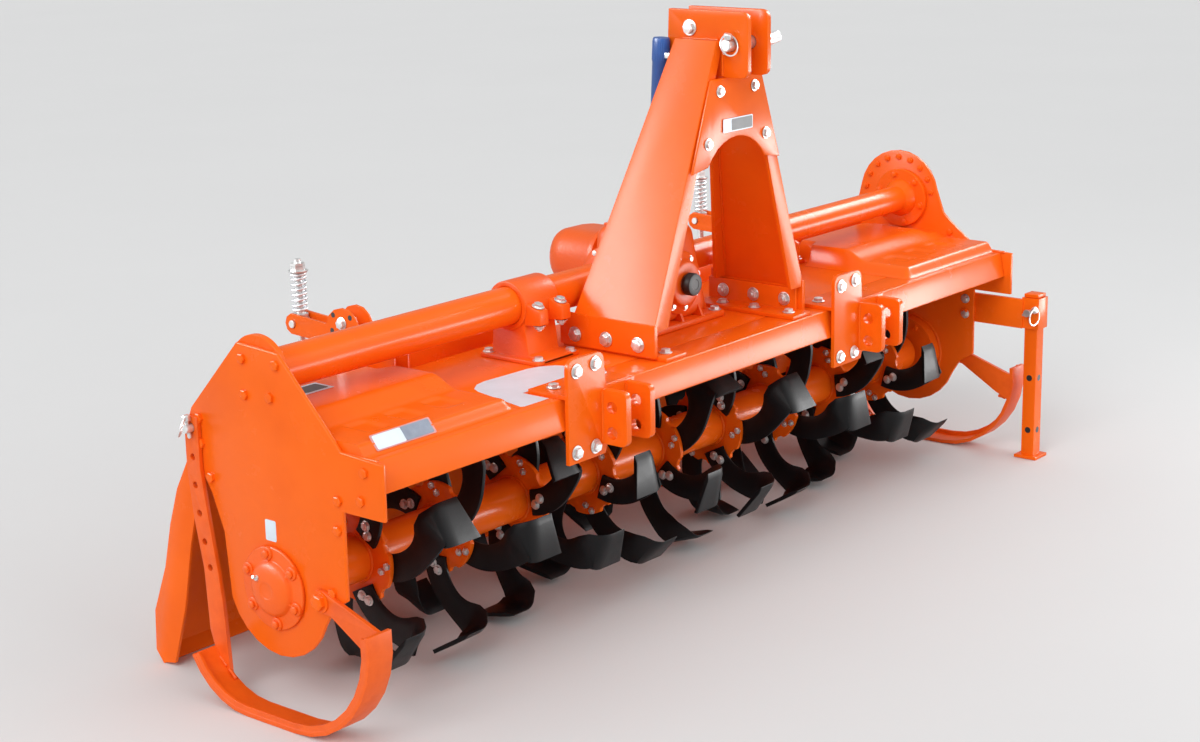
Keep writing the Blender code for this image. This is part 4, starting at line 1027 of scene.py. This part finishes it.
def stand():
    refined("stand_sleeve", bevel=0.0018)
    refined("stand_leg", bevel=0.0022, segments=3)
    x, y = STAND_X, STAND_Y
    outer = 0.0216
    bm = bmesh.new()
    add_turned(bm, aimed((x - outer - 0.014, y, STAND_PIN_Z), (1, 0, 0)),
               [(0, 0), (0.006, 0), (0.006, 2 * outer + 0.026), (0.005, 2 * outer + 0.028),
                (0, 2 * outer + 0.028)], 28)
    add_rod(bm, (x - outer - 0.014, y, STAND_PIN_Z), (-1, 0, 0), 0.0085, 0.004)
    lynch_pin(bm, (x - outer - 0.008, y, STAND_PIN_Z), (0, -0.9, 0.45), (-0.3, -0.1, -0.95),
              0.018)
    piece("stand_pin", bm, ZINC)
    # Dark discs of painted shade where the leg's holes are.
    bm = bmesh.new()
    for z in (-0.03, -0.155):
        for side in (-1, 1):
            hole_shade_disc(bm, (x + side * 0.0161, y, z), (side, 0, 0), 0.0072, 24)
            hole_shade_disc(bm, (x, y + side * 0.0161, z), (0, side, 0), 0.0072, 24)
    piece("stand_hole_shade", bm, RUBBER_AND_HOLE_SHADE, "stand")
    bm = bmesh.new()
    for z in (0.106, 0.142):
        bolt(bm, (HALF_WIDTH - 0.008, -0.15, z), (-1, 0, 0), 0.0075, turn=z * 50)
        bolt(bm, (HALF_WIDTH + 0.0102, -0.15, z), (1, 0, 0), 0.0075, nut=True, turn=z * 30)
    bolts("stand_bolts", bm)
    bm = bmesh.new()
    weld(bm, (HALF_WIDTH + 0.0105, -0.2895, 0.09), (HALF_WIDTH + 0.0105, -0.2895, 0.154), 0.0028)
    piece("stand_weld", bm, PAINT, angle=60)


# ---- Skids ----


def skids():
    for name, side in (("skid_left", -1), ("skid_right", 1)):
        refined(name, WORN, bevel=0.003, segments=3)
        x = HALF_WIDTH + 0.0008
        bm = bmesh.new()
        out = (side, 0, 0)
        add_rod(bm, (side * (HALF_WIDTH + 0.0003), *SKID_PIVOT), out, 0.0098, 0.018, 32)
        add_rod(bm, (side * (x + 0.0083), *SKID_PIVOT), out, 0.019, 0.0022, 36)
        bolt(bm, (side * (x + 0.0103), *SKID_PIVOT), out, 0.0125, washer=False)
        piece(f"{name}_stud", bm, PAINT, angle=28,
              replaces=(f"{name}_pivot_pin",))
        bm = bmesh.new()
        add_lathe(bm, (side * (HALF_WIDTH + 0.0022), *LOCK_PIN), out,
                  [(0, 0), (8, 0), (8, 18), (7, 20.5), (0, 20.5)], 28)
        lynch_pin(bm, (side * (HALF_WIDTH + 0.015), *LOCK_PIN), (0, 0.2, 0.98),
                  (side * 0.4, 0.25, -0.9), 0.0165)
        piece(f"{name}_lock", bm, ZINC, name, replaces=(f"{name}_lock_pin",))
        bm = bmesh.new()
        face = side * (x + 0.008)
        weld(bm, (face, -0.235, -0.083), (face, -0.252, -0.086), 0.0035)
        for y, z in ((0.118, -0.178), (0.14, -0.16)):
            weld(bm, (face, y - 0.012, z - 0.01), (face, y + 0.004, z + 0.004), 0.0032)
        piece(f"{name}_welds", bm, WORN, name, angle=60)


# ---- Trailing board and its spring rods ----


def board():
    refined("trailing_board", bevel=0.0012)
    zinc = bmesh.new()
    for x in (-ROD_X, ROD_X):
        for side in (-1, 1):
            add_rod(zinc, (x + side * 0.0172, *ROD_EYE), (side, 0, 0), 0.0275, 0.0022, 36)
    piece("rod_eye_washers", zinc, ZINC, "board")
    ribs = bmesh.new()
    foot = [(0.3305, -0.205), (0.342, -0.19), (0.3405, -0.125), (0.303, -0.035), (0.281, 0.05),
            (0.256, 0.12), (0.226, 0.17)]
    for x in (-0.98, -0.33, 0.33, 0.98):
        outer = [(y + 0.0045, z) for y, z in foot]
        inner = [(y + 0.0135, z + 0.002) for y, z in foot[1:-1]]
        rib = flat_mesh("X", outer + inner[::-1], (x - 0.003, x + 0.003))
        merge(ribs, rib)
    piece("board_ribs", ribs, PAINT, "board", bevel=0.001)
    # A strip closes the daylight between the board's top edge and its hinge rod.
    strip = [(0.1885, 0.224), (0.1905, 0.2255), (0.2235, 0.18), (0.224, 0.166),
             (0.2215, 0.166), (0.221, 0.179)]
    half = HALF_WIDTH - 0.018
    piece("board_top_strip", flat_mesh("X", strip, (-half, half)), PAINT, "board", bevel=0.0008)


def springs():
    along = (Vector((0, *TRUNNION)) - Vector((0, *ROD_EYE))).normalized()
    for side_name, side in SIDES:
        x = side * ROD_X
        centre, eye = Vector((x, *TRUNNION)), Vector((x, *ROD_EYE))
        refined(f"spring_bracket_{side_name}", bevel=0.0014)
        body = f"rod_{side_name}"
        top = centre + along * ROD_TOP
        bm = bmesh.new()
        turn = aimed(eye, along)
        rod = (top - eye).length
        add_turned(bm, turn, [(0, 0.012), (0.0068, 0.012), (0.0068, rod - 0.01),
                              (0.006, rod - 0.001), (0, rod)], 28)
        add_lathe(bm, (x - 0.007, *ROD_EYE), (1, 0, 0),
                  [(0, 0), (13.5, 0), (14.5, 1), (14.5, 13), (13.5, 14), (0, 14)], 36)
        add_rod(bm, (x - 0.021, *ROD_EYE), (1, 0, 0), 0.0058, 0.042)
        add_turned(bm, turn @ Matrix.Translation((0, 0, rod - 0.0255)),
                   [(0, 0), (0.0185, 0), (0.019, 0.0008), (0.019, 0.003), (0, 0.0032)], 36)
        add_cone(bm, turn, rod - 0.0222, rod - 0.0145, 0.014, segments=6)
        add_cone(bm, turn, rod - 0.014, rod - 0.0085, 0.0138, segments=6)
        for i in range(18):
            add_turned(bm, turn @ Matrix.Translation((0, 0, rod - 0.045 + i * 0.0022)),
                       [(0.0066, 0), (0.0071, 0.0007), (0.0066, 0.0014)], 20)
        piece(f"spring_rod_{side_name}_finish", bm, ZINC, body,
              replaces=(f"spring_rod_{side_name}",))
        wire, radius, turns = 0.0024, 0.0157, 8
        low, high = 0.023 - wire, ROD_TOP - 0.0262 - wire
        cross = along.cross(Vector((1, 0, 0)))
        points = []
        steps = turns * 20
        for i in range(steps + 1):
            share = i / steps
            tight = 0.1
            if share < tight:
                climb = share * 0.45
            elif share > 1 - tight:
                climb = 1 - (1 - share) * 0.45
            else:
                climb = tight * 0.45 + (share - tight) / (1 - 2 * tight) * (1 - 2 * tight * 0.45)
            a = 2 * pi * i / 20
            outward = Vector((1, 0, 0)) * cos(a) + cross * sin(a)
            points.append(centre + along * (low + wire + (high - low - wire) * climb)
                          + outward * (radius - wire))
        bm = bmesh.new()
        add_tube(bm, points, wire, 8)
        piece(f"coil_{side_name}", bm, SPRING, body, angle=60,
              replaces=(f"rod_spring_{side_name}",))
        bm = bmesh.new()
        add_lathe(bm, (x - 0.014, *TRUNNION), (1, 0, 0),
                  [(0, 0), (11.5, 0), (12.5, 1), (12.5, 27), (11.5, 28), (0, 28)], 36)
        add_lathe(bm, (x - 0.025, *TRUNNION), (1, 0, 0),
                  [(0, 0), (6.6, 0), (7.4, 1), (7.4, 49), (6.6, 50), (0, 50)], 28)
        add_lathe(bm, centre + along * 0.0115, along,
                  [(0, 0), (15, 0), (15, 5), (12.5, 6.5), (0, 6.5)], 32)
        piece(f"trunnion_{side_name}_finish", bm, ZINC, f"trunnion_{side_name}",
              replaces=(f"trunnion_{side_name}",))
        bm = bmesh.new()
        for way in (-1, 1):
            bolt(bm, (x + way * 0.0212, 0.2, 0.358), (way, 0, 0), 0.0085, nut=way > 0)
            bolt(bm, (x + way * 0.031, 0.083, DECK_Z + 0.0082), (0, 0, 1), 0.0075)
        bolts(f"spring_bracket_bolts_{side_name}", bm)
        # Dark discs of painted shade where the bracket's holes are.
        bm = bmesh.new()
        for way in (-1, 1):
            for y, z in ((0.178, 0.372), (0.222, 0.372), (0.182, 0.336), (0.226, 0.342)):
                hole_shade_disc(bm, (x + way * 0.0211, y, z), (way, 0, 0), 0.005, 20)
        piece(f"spring_bracket_hole_shade_{side_name}", bm, RUBBER_AND_HOLE_SHADE)


# ---- Blank labels ----


def label(name, corner, right, up, size, layers):
    """Thin blank stickers, laid one on the other: (material, left, right, low, high) in shares."""
    corner, right, up = Vector(corner), Vector(right).normalized(), Vector(up).normalized()
    out = right.cross(up)
    for k, (material, x0, x1, y0, y1) in enumerate(layers):
        radius = min(0.003, size[1] * 0.1)
        low, high = (x0 * size[0], y0 * size[1]), (x1 * size[0], y1 * size[1])
        outline = (arc((high[0] - radius, high[1] - radius), radius, 0, 90, 4)
                   + arc((low[0] + radius, high[1] - radius), radius, 90, 180, 4)
                   + arc((low[0] + radius, low[1] + radius), radius, 180, 270, 4)
                   + arc((high[0] - radius, low[1] + radius), radius, 270, 360, 4))
        bm = flat_mesh("Z", outline, (0.0, 0.0004))
        turn = Matrix([(right[i], up[i], out[i], corner[i] + out[i] * (0.0001 + 0.0003 * k))
                       for i in range(3)] + [(0, 0, 0, 1)])
        bm.transform(turn)
        piece(f"{name}_{k + 1}", bm, material)


def labels():
    label("beam_sticker", (-0.1, -0.2404, 0.23), (1, 0, 0), (0, 0, 1), (0.125, 0.024),
          [(WHITE, 0, 1, 0, 1), (GREY, 0.04, 0.96, 0.45, 0.93), (WHITE, 0.24, 0.76, 0.56, 0.8)])
    label("panel_sticker", (-0.985, -0.2168, 0.2672), (1, 0, 0), (0, 0.014, 0.017),
          (0.14, 0.03), [(PINK, 0, 1, 0, 1), (WHITE, 0.03, 0.5, 0.07, 0.93),
                            (GREY, 0.5, 0.97, 0.07, 0.93)])
    label("warning_sticker", (-0.905, 0.03, 0.3058), (1, 0, 0), (0, 1, 0), (0.066, 0.048),
          [(WHITE, 0, 1, 0, 1), (DARK, 0.1, 0.9, 0.14, 0.86)])
    label("arch_sticker", (-0.048, -0.2268, 0.668), (1, 0, 0), (0, 0, 1), (0.096, 0.026),
          [(WHITE, 0, 1, 0, 1), (DARK, 0.28, 0.98, 0.08, 0.92)])
    label("plate_sticker", (-HALF_WIDTH, 0.017, 0.082), (0, -1, 0), (0, 0, 1), (0.026, 0.037),
          [(WHITE, 0, 1, 0, 1)])
    patch = flat_mesh("Z", [(-0.632, -0.214), (-0.626, -0.219), (-0.562, -0.219), (-0.562, -0.158),
                            (-0.375, -0.158), (-0.371, -0.15), (-0.371, -0.09), (-0.376, -0.078),
                            (-0.4, -0.06), (-0.425, -0.052), (-0.54, -0.047), (-0.566, -0.052),
                            (-0.59, -0.068), (-0.6, -0.086)], (DECK_Z + 0.0002, DECK_Z + 0.0008))
    piece("deck_patch", patch, WHITE)


camera()
studio()
rotor()
side_plates()
deck()
shafts()
clamp()
gearbox()
mast()
front()
stand()
skids()
board()
springs()
labels()
